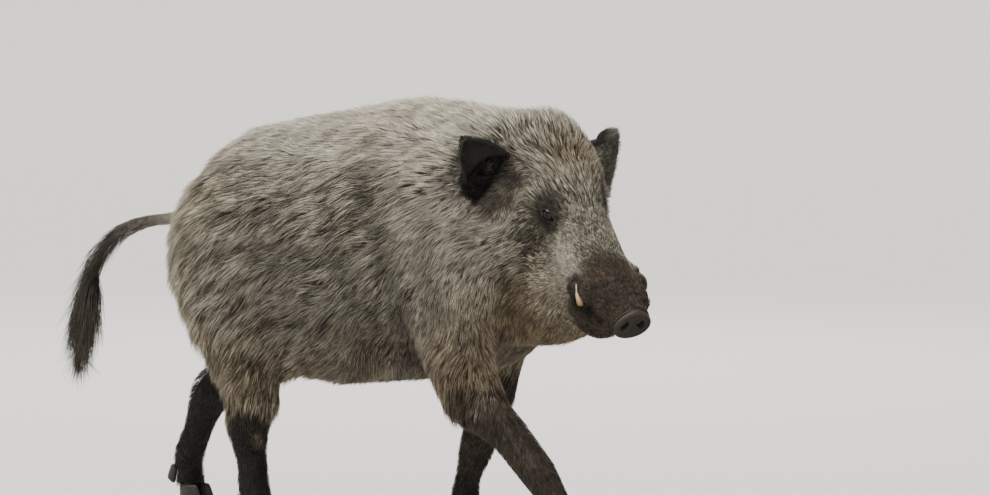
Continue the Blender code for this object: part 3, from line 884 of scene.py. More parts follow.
eyeballs = [make_eye(name, side) for name, side in EYES.items()]
print("eyeballs:", [piece.name for piece in eyeballs])

# %% [markdown]
# ## The snout disc
# The snout ends in a flat disc of gristle, covered in bare, moist skin, with two nostrils and a raised
# rim. A cylinder gives the disc, insets give its front rings of faces, and the points are then moved:
# the outline becomes an egg, the rim rises, and the nostrils sink in.

# %% The disc with its rim and nostrils
DISC_DEPTH = 0.016
DISC_RINGS = 13
DISC_BACK = 0.82  # the back's width, as a share of the front's
NOSTRIL_OUT = 0.0165  # from the middle of the disc


def make_disc():
    bpy.ops.object.select_all(action="DESELECT")
    bpy.ops.mesh.primitive_cylinder_add(vertices=72, radius=1, depth=1, end_fill_type="NGON")
    disc = named("snout")
    disc.data.polygons.foreach_set("select", [face.normal.z > 0.9 for face in disc.data.polygons])
    inset_rings(DISC_RINGS - 1, 1 / DISC_RINGS)
    return disc


def shape_disc(mesh):
    """From a plain drum of radius 1 to the disc, in the head's frame."""
    drum = points_of(mesh)
    radius = np.hypot(drum[:, 0], drum[:, 1])
    angle = np.arctan2(drum[:, 1], drum[:, 0])
    front = drum[:, 2] > 0
    width = DISC_HALF[0] * (1 - 0.10 * np.sin(angle)) * (1 + 0.012 * np.sin(3 * angle + 0.5))
    y = width * radius * np.cos(angle)
    z = DISC_HALF[1] * radius * np.sin(angle)
    rim = hump(radius - 0.90, 0.075) * (0.0022 + 0.0012 * np.sin(angle))
    hollow = -0.0020 * np.exp(-((radius / 0.62) ** 4))
    groove = -0.0012 * hump(y, 0.0022) * ramp(z, 0.020, -0.004) * (radius < 0.86)
    edge = -0.0040 * ramp(radius, 0.93, 1.0)
    z = z + 0.0022 * hump(y, 0.012) * ramp(z, 0.006, 0.030)  # a low peak at the top
    x = np.where(front, rim + hollow + groove + edge, -DISC_DEPTH)
    y, z = np.where(front, y, y * DISC_BACK), np.where(front, z, z * DISC_BACK)
    for side in (-1, 1):
        across, above = y - side * NOSTRIL_OUT, z - 0.0005
        tilt = math.radians(side * 24)
        u = across * math.cos(tilt) + above * math.sin(tilt)
        v = -across * math.sin(tilt) + above * math.cos(tilt)
        hole = np.hypot(u / 0.0058, v / 0.0092)
        x = np.where(front, x - 0.013 * ramp(hole, 1.12, 0.62), x)
        x = np.where(front, x + 0.0013 * hump(hole - 1.45, 0.30), x)
    return np.stack([x + DISC_FRONT, y, z + DISC_RISE], axis=1)


snout = make_disc()
set_points(snout.data, from_head(shape_disc(snout.data)))
face_outward(snout)
add_modifier(snout, "SUBSURF", levels=2, render_levels=2)
apply_all(snout)
bpy.ops.object.shade_smooth()
add_piece(snout, "bare_skin", "snout_disc")
print("snout disc:", len(snout.data.polygons), "faces")

# %% [markdown]
# ## The tusks
# The lower tusks stand out of the lips and lean outwards and back. Each is a tapering tube along a
# curve, which bends and tapers as smoothly as a tusk grows, and its root is hidden in the lip.

# %% Tusks
TUSK = (
    (0.1840, 0.0360, -0.086),
    (0.1930, 0.0480, -0.066),
    (0.1965, 0.0595, -0.047),
    (0.1930, 0.0665, -0.031),
    (0.1840, 0.0700, -0.012),
)
TUSK_RADII = (0.0080, 0.0076, 0.0068, 0.0048, 0.0007)


def make_tusk(name, side):
    line = bpy.data.curves.new("tusk_line", "CURVE")
    line.dimensions = "3D"
    spline = line.splines.new("NURBS")
    spline.points.add(len(TUSK) - 1)
    for point, place, radius in zip(spline.points, TUSK, TUSK_RADII):
        point.co = (*(HEAD @ Vector((place[0], side * place[1], place[2]))), 1)
        point.radius = radius
    spline.order_u = 4
    spline.use_endpoint_u = True
    spline.resolution_u = 8
    line.bevel_depth = 1
    line.bevel_resolution = 4
    line.use_fill_caps = True
    select_only(new_object("tusk_horn_" + name, line))
    bpy.ops.object.convert(target="MESH")
    tusk = named("tusk_horn_" + name)
    face_outward(tusk, merge=0.00005)
    put_attribute(tusk.data, "up_tusk", ramp(to_head(points_of(tusk.data))[:, 2], -0.070, -0.018))
    bpy.ops.object.shade_smooth()
    return add_piece(tusk, "tusk_ivory", "tusk_" + name)


tusks = [make_tusk(name, side) for name, side in EYES.items()]
print("tusks:", [len(piece.data.polygons) for piece in tusks], "faces")

# %% [markdown]
# ## The hooves
# A boar walks on two claws of each foot, and two smaller dewclaws hang behind. The solid claws have
# the right size and stance, so each horn piece starts as a copy of one. A bevel keeps the edge of the
# sole crisp, two levels of subdivision round the wall, and a few growth rings run round it.

# %% Hooves and dewclaws
CLAWS = sorted(name for name in NODES if name.startswith(("hoof_", "dewclaw_")))
RING_SPACING = 0.0075
RING_HEIGHT = 0.00025


def make_claw(name):
    form = copied_form(name)
    bmesh.ops.dissolve_limit(form, angle_limit=math.radians(2), verts=form.verts, edges=form.edges)
    mesh = bpy.data.meshes.new("horn_" + name)
    form.to_mesh(mesh)
    form.free()
    claw = new_object(mesh.name, mesh)
    add_modifier(claw, "BEVEL", width=0.0022, limit_method="ANGLE", angle_limit=math.radians(50))
    add_modifier(claw, "SUBSURF", levels=2, render_levels=2)
    apply_all(claw)
    points = points_of(claw.data)
    up = points[:, 2] - points[:, 2].min()
    rings = RING_HEIGHT * np.sin(up / RING_SPACING * 2 * math.pi) * ramp(up, 0.002, 0.008)
    set_points(claw.data, points + normals_of(claw.data) * rings[:, None])
    put_attribute(claw.data, "up_claw", up / up.max())
    bpy.ops.object.shade_smooth()
    return add_piece(claw, "hoof_horn", name)


horn = [make_claw(name) for name in CLAWS]
print("horn pieces:", len(horn), "with", sum(len(piece.data.polygons) for piece in horn), "faces")

# %% [markdown]
# ## The lie of the coat
# Hair has a direction everywhere: back over the face from the snout, back along the spine, back and
# down over the flanks, down the legs and along the tail. A list of places, each with the way the hair
# points there, is enough. Any other point takes an average of the nearest ones, turned into the
# plane of the skin.

# %% Which way the hair points
BODY_LIE = (
    ((-0.43, 0.00, 0.84), (-1.0, 0, -0.25)),  # croup
    ((-0.10, 0.00, 0.91), (-1.0, 0, 0.00)),  # back
    ((0.25, 0.00, 0.93), (-1.0, 0, 0.05)),  # withers
    ((0.42, 0.00, 0.87), (-1.0, 0, 0.10)),  # top of the neck
    ((-0.30, 0.18, 0.78), (-0.85, 0, -0.45)),
    ((-0.05, 0.20, 0.78), (-0.92, 0, -0.30)),
    ((-0.05, 0.23, 0.62), (-0.85, 0, -0.50)),  # flank
    ((-0.05, 0.21, 0.46), (-0.85, 0, -0.45)),
    ((-0.10, 0.00, 0.35), (-1.0, 0, -0.10)),  # belly
    ((0.16, 0.21, 0.66), (-0.80, 0, -0.60)),
    ((0.30, 0.19, 0.62), (-0.60, 0, -0.80)),  # shoulder
    ((0.34, 0.19, 0.50), (-0.35, 0, -0.95)),  # upper arm
    ((-0.45, 0.15, 0.70), (-0.60, 0, -0.80)),  # rump
    ((-0.52, 0.05, 0.58), (-0.15, 0, -1.0)),  # buttock
    ((-0.36, 0.21, 0.58), (-0.55, 0, -0.85)),  # thigh
    ((-0.30, 0.20, 0.44), (-0.45, 0, -0.90)),
    ((0.38, 0.16, 0.72), (-0.75, 0, -0.60)),  # side of the neck
    ((0.36, 0.15, 0.84), (-0.90, 0, -0.20)),
    ((0.46, 0.08, 0.50), (-0.30, 0, -0.95)),  # throat
    ((0.48, 0.00, 0.55), (-0.10, 0, -1.0)),  # chest
    ((0.45, 0.14, 0.32), (0.20, 0, -1.0)),  # forearm that is stretched out
    ((0.60, 0.14, 0.15), (0.20, 0, -1.0)),
    ((0.18, 0.13, 0.28), (-0.15, 0, -1.0)),
    ((-0.25, 0.12, 0.25), (-0.10, 0, -1.0)),  # hocks
    ((-0.60, 0.12, 0.26), (-0.45, 0, -0.90)),
)
HEAD_LIE = (
    ((0.25, 0.00, 0.02), (-1.0, 0, 0.05)),  # snout
    ((0.20, 0.05, -0.03), (-1.0, 0.1, -0.25)),
    ((0.10, 0.00, 0.05), (-1.0, 0, 0.05)),  # bridge of the nose
    ((0.08, 0.05, 0.00), (-1.0, 0.4, 0.00)),
    ((-0.03, 0.00, 0.07), (-0.90, 0, 0.50)),  # forehead
    ((-0.12, 0.00, 0.10), (-0.80, 0, 0.60)),  # crown
    ((-0.10, 0.07, 0.06), (-0.80, 0.5, 0.45)),
    ((-0.20, 0.00, 0.06), (-1.0, 0, 0.10)),  # nape
    ((0.00, 0.06, 0.035), (-0.80, 0.5, 0.40)),  # brow
    ((0.02, 0.07, -0.03), (-0.65, 0.1, -0.65)),  # below the eye
    ((-0.05, 0.10, -0.04), (-0.60, 0.2, -0.70)),
    ((-0.06, 0.11, -0.09), (-0.35, 0, -0.92)),  # cheek
    ((-0.03, 0.09, -0.16), (-0.15, 0, -1.0)),  # jowl
    ((0.08, 0.07, -0.08), (-0.70, 0, -0.65)),
    ((0.12, 0.06, -0.13), (-0.40, 0, -0.90)),  # jaw
    ((0.18, 0.00, -0.14), (-0.75, 0, -0.60)),  # chin
    ((-0.15, 0.10, -0.08), (-0.75, 0, -0.60)),
    ((-0.070, 0.125, 0.010), (-0.20, 0.35, -0.90)),  # in front of the ear
    ((-0.085, 0.135, -0.030), (-0.35, 0.25, -0.90)),
)
TAIL_LIE = (
    ((-0.55, -0.01, 0.65), (-1.0, -0.20, 0.0)),
    ((-0.66, -0.065, 0.635), (-0.90, -0.4, -0.3)),
    ((-0.72, -0.095, 0.60), (-0.65, -0.3, -0.8)),
    ((-0.75, -0.110, 0.54), (-0.30, -0.1, -1.0)),
    ((-0.78, -0.120, 0.42), (-0.15, 0.0, -1.0)),
)


def mirrored(rules):
    """The rules of one side, for both."""
    other_side = [((x, -y, z), (a, -b, c)) for (x, y, z), (a, b, c) in rules if y]
    return in_columns([*rules, *other_side])


def in_columns(rules):
    """A list of pairs, as one array of places and one of ways."""
    return [np.array(column, float) for column in zip(*rules)]


def lie_of_coat(points, normals, ear, tail):
    body_places, body_ways = mirrored(BODY_LIE)
    head_places, head_ways = mirrored(HEAD_LIE)
    tail_places, tail_ways = in_columns(TAIL_LIE)
    places = np.concatenate([body_places, from_head(head_places)])
    ways = unit(np.concatenate([body_ways, head_vectors(head_ways)]))

    def average(places, ways):
        far = ((points[:, None, :] - places[None]) ** 2).sum(axis=2)
        return unit((1 / (far + 0.0006) ** 2) @ ways)

    way = mixed(average(places, ways), average(tail_places, unit(tail_ways)), tail[:, None])
    for name in EAR_BASES:
        base, length, across, _ = ear_frame(name)
        near = ear * (np.linalg.norm(points - base - length * EAR_LENGTH / 2, axis=1) < 0.16)
        fan = unit(length + across * ((points - base) @ across)[:, None] * 9)
        way = mixed(way, fan, near[:, None])
    skirt = (np.maximum(in_cups(points)[2], 0.6 * ear_skirt(points)) * (1 - ear))[:, None]
    down = head_vectors(np.array([(-0.05, 0.0, -1.0)]))
    way = unit(mixed(way, down, skirt))
    return unit(way - normals * np.sum(way * normals, axis=1, keepdims=True))


# %% [markdown]
# ## Markings
# The coat is grizzled grey and tan: dark at the roots and pale at the tips. The snout, the ears, the
# lower legs and the tail are nearly black, and the chest, the throat and the belly are a warmer brown.
# The skin and the tufts both take these from one function, so that no edge shows between them.


# %% Where each colour lies on the head
EAR_DARK_FROM = {"ear_right": -0.20, "ear_left": 0.46}  # along the ear
EAR_DARK = {"ear_right": 0.92, "ear_left": 0.50}
EAR_DARK_BASE = 0.20


def face_marks(local, uneven):
    """The brown and the black of the face: snout, mouth and the rings round the eyes, with painted shade
    round the tusks' roots and along the wrinkles.
    """
    x, y, z = local.T
    folded = one_side(local)
    edge = 0.152 + 0.022 * ramp(folded[:, 1], 0.025, 0.055) + 0.012 * ramp(z, -0.02, -0.07) + 0.012 * uneven
    snout = ramp(x, edge - 0.040, edge + 0.034) ** 1.3 * ramp(z, -0.30, -0.20)
    # By the tusk's root the lips are dark, and painted shadow darkens them more.
    mouth = bump_at(folded, (0.190, 0.050, -0.075), (0.040, 0.045, 0.032))
    at_tusk = hump(near_path(folded, TUSK), 0.017)
    # Painted shade along the wrinkles of the muzzle.
    crease = sum(hump(x - place + WRINKLE_BOW * y**2, 0.0035) for place in WRINKLES) * ramp(z, -0.06, -0.01)
    ridge = hump(y, 0.006) * ramp(x, 0.15, 0.20)
    brown = [snout, np.minimum(1.5 * mouth + 1.4 * at_tusk, 1)]
    black = [0.8 * at_tusk, 0.6 * crease, 0.3 * ridge]
    for side in EYES.values():
        lid = lid_centre(side)
        ring = np.minimum(1.9 * bump_at(local, lid + (0.006, 0, 0), (0.040, 0.040, 0.030)), 1)
        brow = np.minimum(1.6 * bump_at(local, lid + (0, -side * 0.008, 0.024), (0.034, 0.030, 0.016)), 1)
        tear = bump_at(local, eye_centre(side) + (0.026, -side * 0.008, -0.012), (0.016, 0.012, 0.008))
        bristle = bump_at(local, (0.135, side * 0.034, 0.018), (0.016, 0.012, 0.012))
        brown += [0.95 * ring, 0.9 * brow, 0.8 * tear, 0.8 * bristle]
        black += [0.6 * ring, 0.6 * brow]
    return brown, black


def ear_marks(points, ear, uneven):
    """The brown and the black of the ears, and the dark of the hollows at their feet, which is dark hair and
    painted shade.
    """
    black = []
    for name, start in EAR_DARK_FROM.items():
        along, across, out = ear_place(points, name)
        on_this = ear * (np.abs(along - 0.5) < 1) * (np.abs(across) < 0.15) * (np.abs(out) < 0.12)
        dark = mixed(EAR_DARK_BASE, EAR_DARK[name], ramp(along + 0.06 * uneven, start, start + 0.26))
        black.append(on_this * dark)
    # The hollow at each ear's foot and the neck seen inside it are painted dark: dark hair and painted shade.
    cup, rim, _ = in_cups(points)
    cup = np.minimum(cup + at_cup_feet(to_head(points)), 1)
    return [np.minimum(0.8 * rim + cup, 0.85)], [*black, 0.92 * cup**2]


# %% Where each colour lies on the body
WARM_PLACES = (  # how warm, where and how far that reaches
    (1.20, (0.46, 0.0, 0.48), (0.15, 0.20, 0.12)),  # chest
    (0.60, (0.38, 0.0, 0.42), (0.12, 0.40, 0.12)),  # upper arms
    (0.60, (-0.48, 0.0, 0.56), (0.16, 0.40, 0.24)),  # thighs
    (0.45, (-0.40, 0.0, 0.80), (0.24, 0.30, 0.22)),  # croup
    (0.45, (0.16, 0.0, 0.90), (0.20, 0.30, 0.14)),  # withers
)
# Painted light: the shoulder and the rump are made paler where the light falls on them.
LIT_PLACES = (
    (0.60, (0.38, 0.19, 0.68), (0.15, 0.12, 0.20)),  # shoulder
    (1.50, (-0.54, 0.11, 0.66), (0.16, 0.18, 0.17)),  # rump
)


def leg_marks(points, uneven):
    """How black the legs are, and the fore part of that, which is brown as well."""
    x, _, z = points.T
    far = ramp(x, -0.36, -0.46)
    level = z + 0.034 * uneven
    hind = ramp(level, 0.298 + 0.092 * far, 0.222 + 0.078 * far) * (x < 0)
    fore = ramp(level, 0.430, 0.330) * (x > 0)
    return np.maximum(hind, fore * (0.25 + 0.55 * ramp(z, 0.20, 0.10))), fore


def markings(points, ear, tail):
    """How black, brown and warm the coat is at each point, from 0 to 1, how pale it is, partly as painted
    light, and how much painted shade it carries.
    """
    local = to_head(points)
    uneven = wander(points, 0.06, 11)
    x, _, z = points.T
    side = np.abs(points[:, 1])
    level, station = z + 0.02 * uneven, x + 0.03 * uneven
    brown, black = face_marks(local, uneven)
    ear_brown, ear_black = ear_marks(points, ear, uneven)
    leg, fore = leg_marks(points, uneven)
    forehead = bump_at(local, (-0.070, 0.022, 0.070), (0.060, 0.060, 0.060))
    elbows = bump_at(points, (0.36, 0.0, 0.44), (0.10, 0.40, 0.09))
    tail_brown = tail * ramp(x, SHIFT_X - 0.58, SHIFT_X - 0.74)
    brown += [*ear_brown, 0.35 * forehead, 0.92 * fore, 0.55 * elbows, 0.62 * tail_brown]
    tail_black = tail * ramp(x, SHIFT_X - 0.66, SHIFT_X - 0.80)
    # The lip crease is painted black: dark lip skin and painted shade in the crease.
    black += [*ear_black, leg, 0.85 * lip_crease(points), 0.60 * tail_black]
    low = ramp(level, 0.52, 0.38)
    jowl = bump_at(local, (-0.02, 0.0, -0.16), (0.13, 0.18, 0.08))
    warm = np.clip(with_bumps(0.58 * low + 0.7 * jowl + forehead, points, WARM_PLACES), 0, 1)
    pale_and_lit = 0.9 * bump_at(one_side(local), (0.105, 0.070, -0.050), (0.060, 0.050, 0.050))
    # Painted light: the top of the back is made paler.
    pale_and_lit += 1.4 * ramp(level, 0.74, 0.88) * ramp(local[:, 0], -0.16, -0.28)
    pale_and_lit = with_bumps(pale_and_lit, one_side(points), LIT_PLACES)
    # Painted shade: the coat is darkened in the folds of the hide, on top of the head, on the middle of the
    # flanks and low on the hind quarters.
    flank = ramp(level, 0.80, 0.60) * ramp(side, 0.08, 0.15)
    flank *= ramp(station, -0.32, -0.12) * ramp(station, 0.30, 0.16)
    brow_top = ramp(local[:, 0], -0.20, -0.12) * ramp(local[:, 2], -0.02, 0.05)
    painted_shade = [1.50 * folds(points)[1], 0.42 * brow_top, 0.90 * flank, 0.50 * low * (x < 0)]
    brown = np.maximum.reduce(brown)
    return {
        "black": np.maximum.reduce(black),
        "brown": brown,
        "warm": warm * (1 - brown),
        "pale_and_lit": np.clip(pale_and_lit, 0, 1),
        "painted_shade": np.maximum.reduce(painted_shade),
    }


skin_parts, ear_part, tail_part = skin_traits(skin.data)
skin_points = points_of(skin.data)
for name, values in markings(skin_points, ear_part, tail_part).items():
    put_attribute(skin.data, name, values)
print("markings on", len(skin_points), "points")

# %% [markdown]
# ## The coat
# A boar's coat is coarse bristle. Single hairs would be millions, so each piece of the coat here is a
# tuft: a thin closed spindle with six faces, which rises from the skin and then lies back along it.
# Tufts are a few centimetres long on the body and a few millimetres on the face and the feet.

# %% How long, wide and dense the tufts are
COAT_TUFTS = 196000
DARK_TUFTS = 42000
RIGHT_FOREARM = ((0.37, -0.19, 0.36), (0.05, 0.07, 0.07))  # the back of it, and the reach
LONG_ON_BODY = (  # how much longer the hair is, where, and how far that reaches
    (0.036, (0.24, 0.0, 0.38), (0.10, 0.40, 0.08)),  # elbow
    (0.026, (-0.38, 0.0, 0.40), (0.09, 0.40, 0.10)),  # back of the thigh
    (0.020, (-0.20, 0.0, 0.34), (0.10, 0.40, 0.07)),  # above the hocks
    (0.018, (0.44, 0.0, 0.46), (0.12, 0.20, 0.10)),  # chest
    (0.026, *RIGHT_FOREARM),
    (0.026, (0.16, 0.14, 0.34), (0.05, 0.07, 0.07)),  # back of the left forearm
)
LONG_ON_HEAD = (
    (0.012, (0.00, 0.0, -0.17), (0.12, 0.16, 0.06)),  # jowl
    (0.012, (0.11, 0.0, -0.14), (0.07, 0.14, 0.04)),  # jaw
)


def tuft_length(points, height, tail):
    """The length of the hair, from the height of the coat and a few places where it hangs longer."""
    local = to_head(points)
    length = with_bumps(0.0040 + 2.05 * height, points, LONG_ON_BODY)
    length += 0.014 * ramp(points[:, 2], 0.105, 0.070)  # over the hooves
    length = with_bumps(length, local, LONG_ON_HEAD)
    length += tail * 0.060 * ramp(points[:, 2], 0.63, 0.57)
    inside, _, before = in_cups(points)
    inside = np.minimum(inside + at_cup_feet(local), 1)
    at_lids = [1.3 * bump_at(local, lid_centre(side), (0.036, 0.034, 0.026)) for side in EYES.values()]
    short_at_eye = sum(np.minimum(near, 1) for near in at_lids)
    return length * (1 - 0.80 * inside) * (1 - 0.45 * before) * (1 - 0.62 * short_at_eye)


def no_hair(points):
    """1 where the skin is bare: between the lids, in the mouth and under the hooves' edge."""
    local = to_head(points)
    bare = (points[:, 2] < 0.050) | ((local[:, 0] > 0.2960) & (local[:, 2] > -0.12))
    for side in EYES.values():
        along, above, height = measured(local, eye_centre(side), *eye_axes(side))
        bare |= (np.hypot((along - 0.004) / 0.0235, (above - 0.0008) / 0.0140) < 1) & (height > -0.03)
    bare |= near_path(one_side(local), TUSK) < 0.0080
    line = near_line(local[:, 0], local[:, 2], MOUTH)
    bare |= (line < 0.0035) & (local[:, 0] > 0.10) & (np.abs(local[:, 1]) < 0.09)
    return bare


SKIN_FACES = triangles_of(skin.data)
hair_normals = unit(np.stack([spread(axis, skin.data, 12) for axis in normals_of(skin.data).T], axis=1))
skin_height = coat_height(skin_points, ear_part, tail_part)
skin_length = tuft_length(skin_points, skin_height, tail_part)
print("tufts from", round(skin_length.min() * 1000), "to", round(skin_length.max() * 1000), "mm long")

# %% [markdown]
# Roots are scattered over the skin's faces, closer together where the hair is short. Their number is
# fixed, so about how big the model gets is known before it is built.

# %% Roots
DARK_PARTS = ("ear_", "tail_", "_lower", "_foot")


def scatter_roots(dice):
    corners = skin_points[SKIN_FACES]
    area = doubled_areas(corners)
    spacing = 0.0016 + 0.052 * np.minimum(skin_length, 0.05)[SKIN_FACES].mean(axis=1)
    spacing *= 1 - 0.45 * tail_part[SKIN_FACES].mean(axis=1)
    weight = area / spacing**2
    weight[no_hair(corners.mean(axis=1))] = 0
    dark = np.array([any(part in FLESH[n] for part in DARK_PARTS) for n in skin_parts[SKIN_FACES[:, 0]]])
    chosen = []
    for group, count in ((~dark, COAT_TUFTS), (dark, DARK_TUFTS)):
        share = np.cumsum(weight * group)
        chosen.append(np.searchsorted(share, dice.random(count) * share[-1]))
        print("tufts", count, "mean spacing", round(math.sqrt(area[group].sum() / 2 / count) * 1000, 2), "mm")
    picked = np.concatenate(chosen)
    return picked, *within(corners[picked], dice)


DICE = np.random.default_rng(20)
root_faces, roots, root_shares = scatter_roots(DICE)
is_dark = np.arange(len(roots)) >= COAT_TUFTS


def at_roots(values):
    """Values of the skin's points, taken at the roots."""
    picked = values[SKIN_FACES[root_faces]]
    shares = root_shares if values.ndim == 1 else root_shares[:, :, None]
    return (picked * shares).sum(axis=1)


root_normals = unit(at_roots(hair_normals))
root_height = at_roots(skin_height)
root_length = at_roots(skin_length)
root_ear, root_tail = at_roots(ear_part), at_roots(tail_part)
root_way = lie_of_coat(roots, root_normals, root_ear, root_tail)
print(len(roots), "roots,", int(is_dark.sum()), "of them on the ears, legs and tail")

# %% [markdown]
# Real hair isn't combed. The direction drifts from place to place in soft waves, single tufts stray,
# and neighbours cling together in wisps, whose tips meet. Each wisp has a leader, and the tips of
# the tufts around it are drawn towards the leader's own tip.

# %% Tips, drift and wisps
WISP_SIZE = 10  # tufts to a wisp
STREAK = np.array((-0.86, 0.0, -0.51))  # locks of the flanks run this way
CLING = 0.50


def turned(way, normal, angle):
    across = np.cross(normal, way)
    return way * np.cos(angle)[:, None] + across * np.sin(angle)[:, None]


drift = 0.24 * wander(roots, 0.13, 5) + 0.15 * wander(roots, 0.045, 6)
drift = drift * (1 - 0.6 * root_ear) * (1 - 0.5 * root_tail)
drift += DICE.normal(0, 0.13, len(roots)) * (1 + 0.2 * root_tail)
root_way = turned(root_way, root_normals, drift)
length = root_length * np.clip(DICE.normal(1.0, 0.16, len(roots)), 0.55, 1.4)
rise = root_height * np.clip(DICE.normal(0.97, 0.15, len(roots)), 0.45, 1.15)
rise *= 1 - 0.75 * ramp(root_height, 0.010, 0.006) * (1 - root_ear) * DICE.random(len(roots)) ** 1.5
in_cup, _, before_cup = in_cups(roots)
rise *= 1 - np.minimum(0.7 * in_cup + 0.4 * before_cup, 0.8)
down_head = to_head(roots)[:, 0]
on_muzzle, on_head = ramp(down_head, 0.12, 0.19), ramp(down_head, -0.22, -0.10)
streak = wander(roots - 0.78 * (roots @ STREAK)[:, None] * STREAK, 0.024, 12) * (1 - on_head)
rise *= 1 + 0.22 * streak
rise = rise * (1 - 0.45 * on_muzzle) * (1 - 0.08 * root_tail) + 0.0020 * root_ear
rise += 0.0035 * ramp(roots[:, 2], 0.100, 0.065)
rise += 0.010 * bump_at(roots, *RIGHT_FOREARM)
rise = np.minimum(rise, 0.8 * length)
reach = np.sqrt(length**2 - rise**2)
tips = roots + root_way * reach[:, None] + root_normals * rise[:, None]

leaders = np.sort(DICE.choice(len(roots), len(roots) // WISP_SIZE, replace=False))
leader_of = leaders[nearest_among(roots[leaders], roots)]
cling = CLING * ramp(length, 0.010, 0.030) * (np.linalg.norm(roots[leader_of] - roots, axis=1) < 0.6 * length)
cling *= (0.6 + 0.4 * wander(roots, 0.16, 8)) * (1 - 0.7 * root_tail)
tips += (tips[leader_of] - tips) * cling[:, None]
hang = ramp(length, 0.045, 0.075) * 0.006
tips[:, 2] -= hang + 0.030 * root_tail * ramp(roots[:, 2], 0.640, 0.600) * DICE.random(len(roots))


def shorten_at_ears():
    """Cuts back tufts that would come out through an ear. The skin tells how far each can reach."""
    surface = surface_tree(skin.data)
    bases = [ear_frame(name)[0] for name in EAR_BASES]
    close = np.minimum(*[np.linalg.norm(roots - base, axis=1) for base in bases]) < 0.20
    cut = 0
    for number in np.nonzero(close)[0]:
        start = roots[number] + 0.003 * root_normals[number]
        way = tips[number] - start
        span = np.linalg.norm(way)
        reached = surface.ray_cast(Vector(start), Vector(way / span), span)[3]
        if reached is not None:
            share = max(0.75 * reached / span, 0.15)
            tips[number] = roots[number] + (tips[number] - roots[number]) * share
            length[number] *= share
            rise[number] *= share
            cut += 1
    return cut


print("tufts cut back at the ears:", shorten_at_ears())
print("wisps:", len(leaders))

# %% [markdown]
# Each tuft has five points: the root, sunk a little into the skin, three around its widest place
# and the tip. The widest place stands higher than a straight line from root to tip, so the tuft bends.
# Every point also keeps how far up the hair it lies and a shade of its own.

# %% Building tufts
TUFT_FACES = np.array([(0, 2, 1), (0, 3, 2), (0, 1, 3), (4, 1, 2), (4, 2, 3), (4, 3, 1)])
WIDEST = 0.42


def tuft_points(numbers):
    """The five points of each tuft, as rows."""
    root, tip, normal = roots[numbers], tips[numbers], root_normals[numbers]
    way = unit(tip - root)
    across = unit(np.cross(way, normal))
    width = 0.00036 + 0.0088 * np.minimum(length[numbers], 0.060)
    width = (width * (1 - 0.3 * root_tail[numbers]))[:, None]
    bend = normal * (0.28 * rise[numbers])[:, None]
    middle = root * (1 - WIDEST) + tip * WIDEST + bend
    lift = np.cross(across, way)
    start = root - normal * np.minimum(0.0015, 0.3 * rise[numbers])[:, None]
    left = middle - across * width - lift * width * 0.25
    right = middle + across * width - lift * width * 0.25
    ridge = middle + lift * width * 0.55
    return np.stack([start, left, right, ridge, tip], axis=1)


made = tuft_points(np.arange(4))
print("a tuft's box:", np.round(np.ptp(made[0], axis=0) * 1000, 1), "mm")

# %% [markdown]
# The coat is split into layers that each cover the whole body, so that each piece has fewer than 200,000
# faces. A tuft also needs a small patch of its own in the UV map, at its root's place on an unwrap of the
# skin. The unwrap lays the parts of the body out in bands: along the part's long axis one way and round it
# the other. The map is a grid of patches, and tufts that share a patch go to different layers. The few that
# find no patch free are left out.

# %% A patch for each tuft
PATCHES = 300  # along each side of the map
PATCH_SIZE = 0.0030
SLICES = 12  # along a part, each unwrapped round on its own
COAT_LAYERS = 6
DARK_LAYERS = 2
SHUFFLE = 7919  # a prime, so that neighbouring patches begin in different layers


def evened(values):
    """Places from 0 to 1 in the order of the values, with no gaps."""
    order = np.argsort(np.argsort(values, kind="stable"), kind="stable")
    return (order + 0.5) / len(values)


def unwrap(numbers):
    """The patch of each of these tufts, as its column and row in the grid."""
    parts = skin_parts[SKIN_FACES[root_faces[numbers], 0]]
    column, row = np.zeros(len(numbers), int), np.zeros(len(numbers), int)
    counts = np.array([(parts == part).sum() for part in range(len(FLESH))])
    bands = np.concatenate([[0], np.round(np.cumsum(counts) / counts.sum() * PATCHES)]).astype(int)
    for part in np.nonzero(counts)[0]:
        inside = parts == part
        places = roots[numbers[inside]]
        away = places - places.mean(axis=0)
        axes = np.linalg.svd(away[:: max(1, len(away) // 2000)], full_matrices=False)[2]
        along, side, up = (away @ axis for axis in axes)
        column[inside] = (evened(along) * PATCHES).astype(int)
        slices = (evened(along) * SLICES).astype(int)
        turn = np.zeros(len(away))
        for one in range(SLICES):
            turn[slices == one] = evened(np.arctan2(up, side)[slices == one])
        height = max(bands[part + 1] - bands[part], 1)
        row[inside] = np.minimum(bands[part] + (turn * height).astype(int), PATCHES - 1)
    return column, row


def share_out(numbers, layers):
    """Splits tufts into layers so that no layer uses a patch twice."""
    column, row = unwrap(numbers)
    patch = column * PATCHES + row
    order = np.argsort(patch, kind="stable")
    first = np.searchsorted(patch[order], patch[order], side="left")
    rank = np.empty(len(numbers), int)
    rank[order] = np.arange(len(numbers)) - first
    layer = np.where(rank < layers, (rank + patch * SHUFFLE) % layers, -1)
    print("tufts without a patch, left out:", int((layer < 0).sum()), "of", len(numbers))
    corner = np.stack([column, row], axis=1) / PATCHES + (1 / PATCHES - PATCH_SIZE) / 2
    return [(numbers[layer == n], corner[layer == n]) for n in range(layers)]


coat_layers = share_out(np.nonzero(~is_dark)[0], COAT_LAYERS)
dark_layers = share_out(np.nonzero(is_dark)[0], DARK_LAYERS)

# %% [markdown]
# Now the layers become meshes. The arrays are handed over whole, which takes a second where adding
# tufts one by one would take hours.

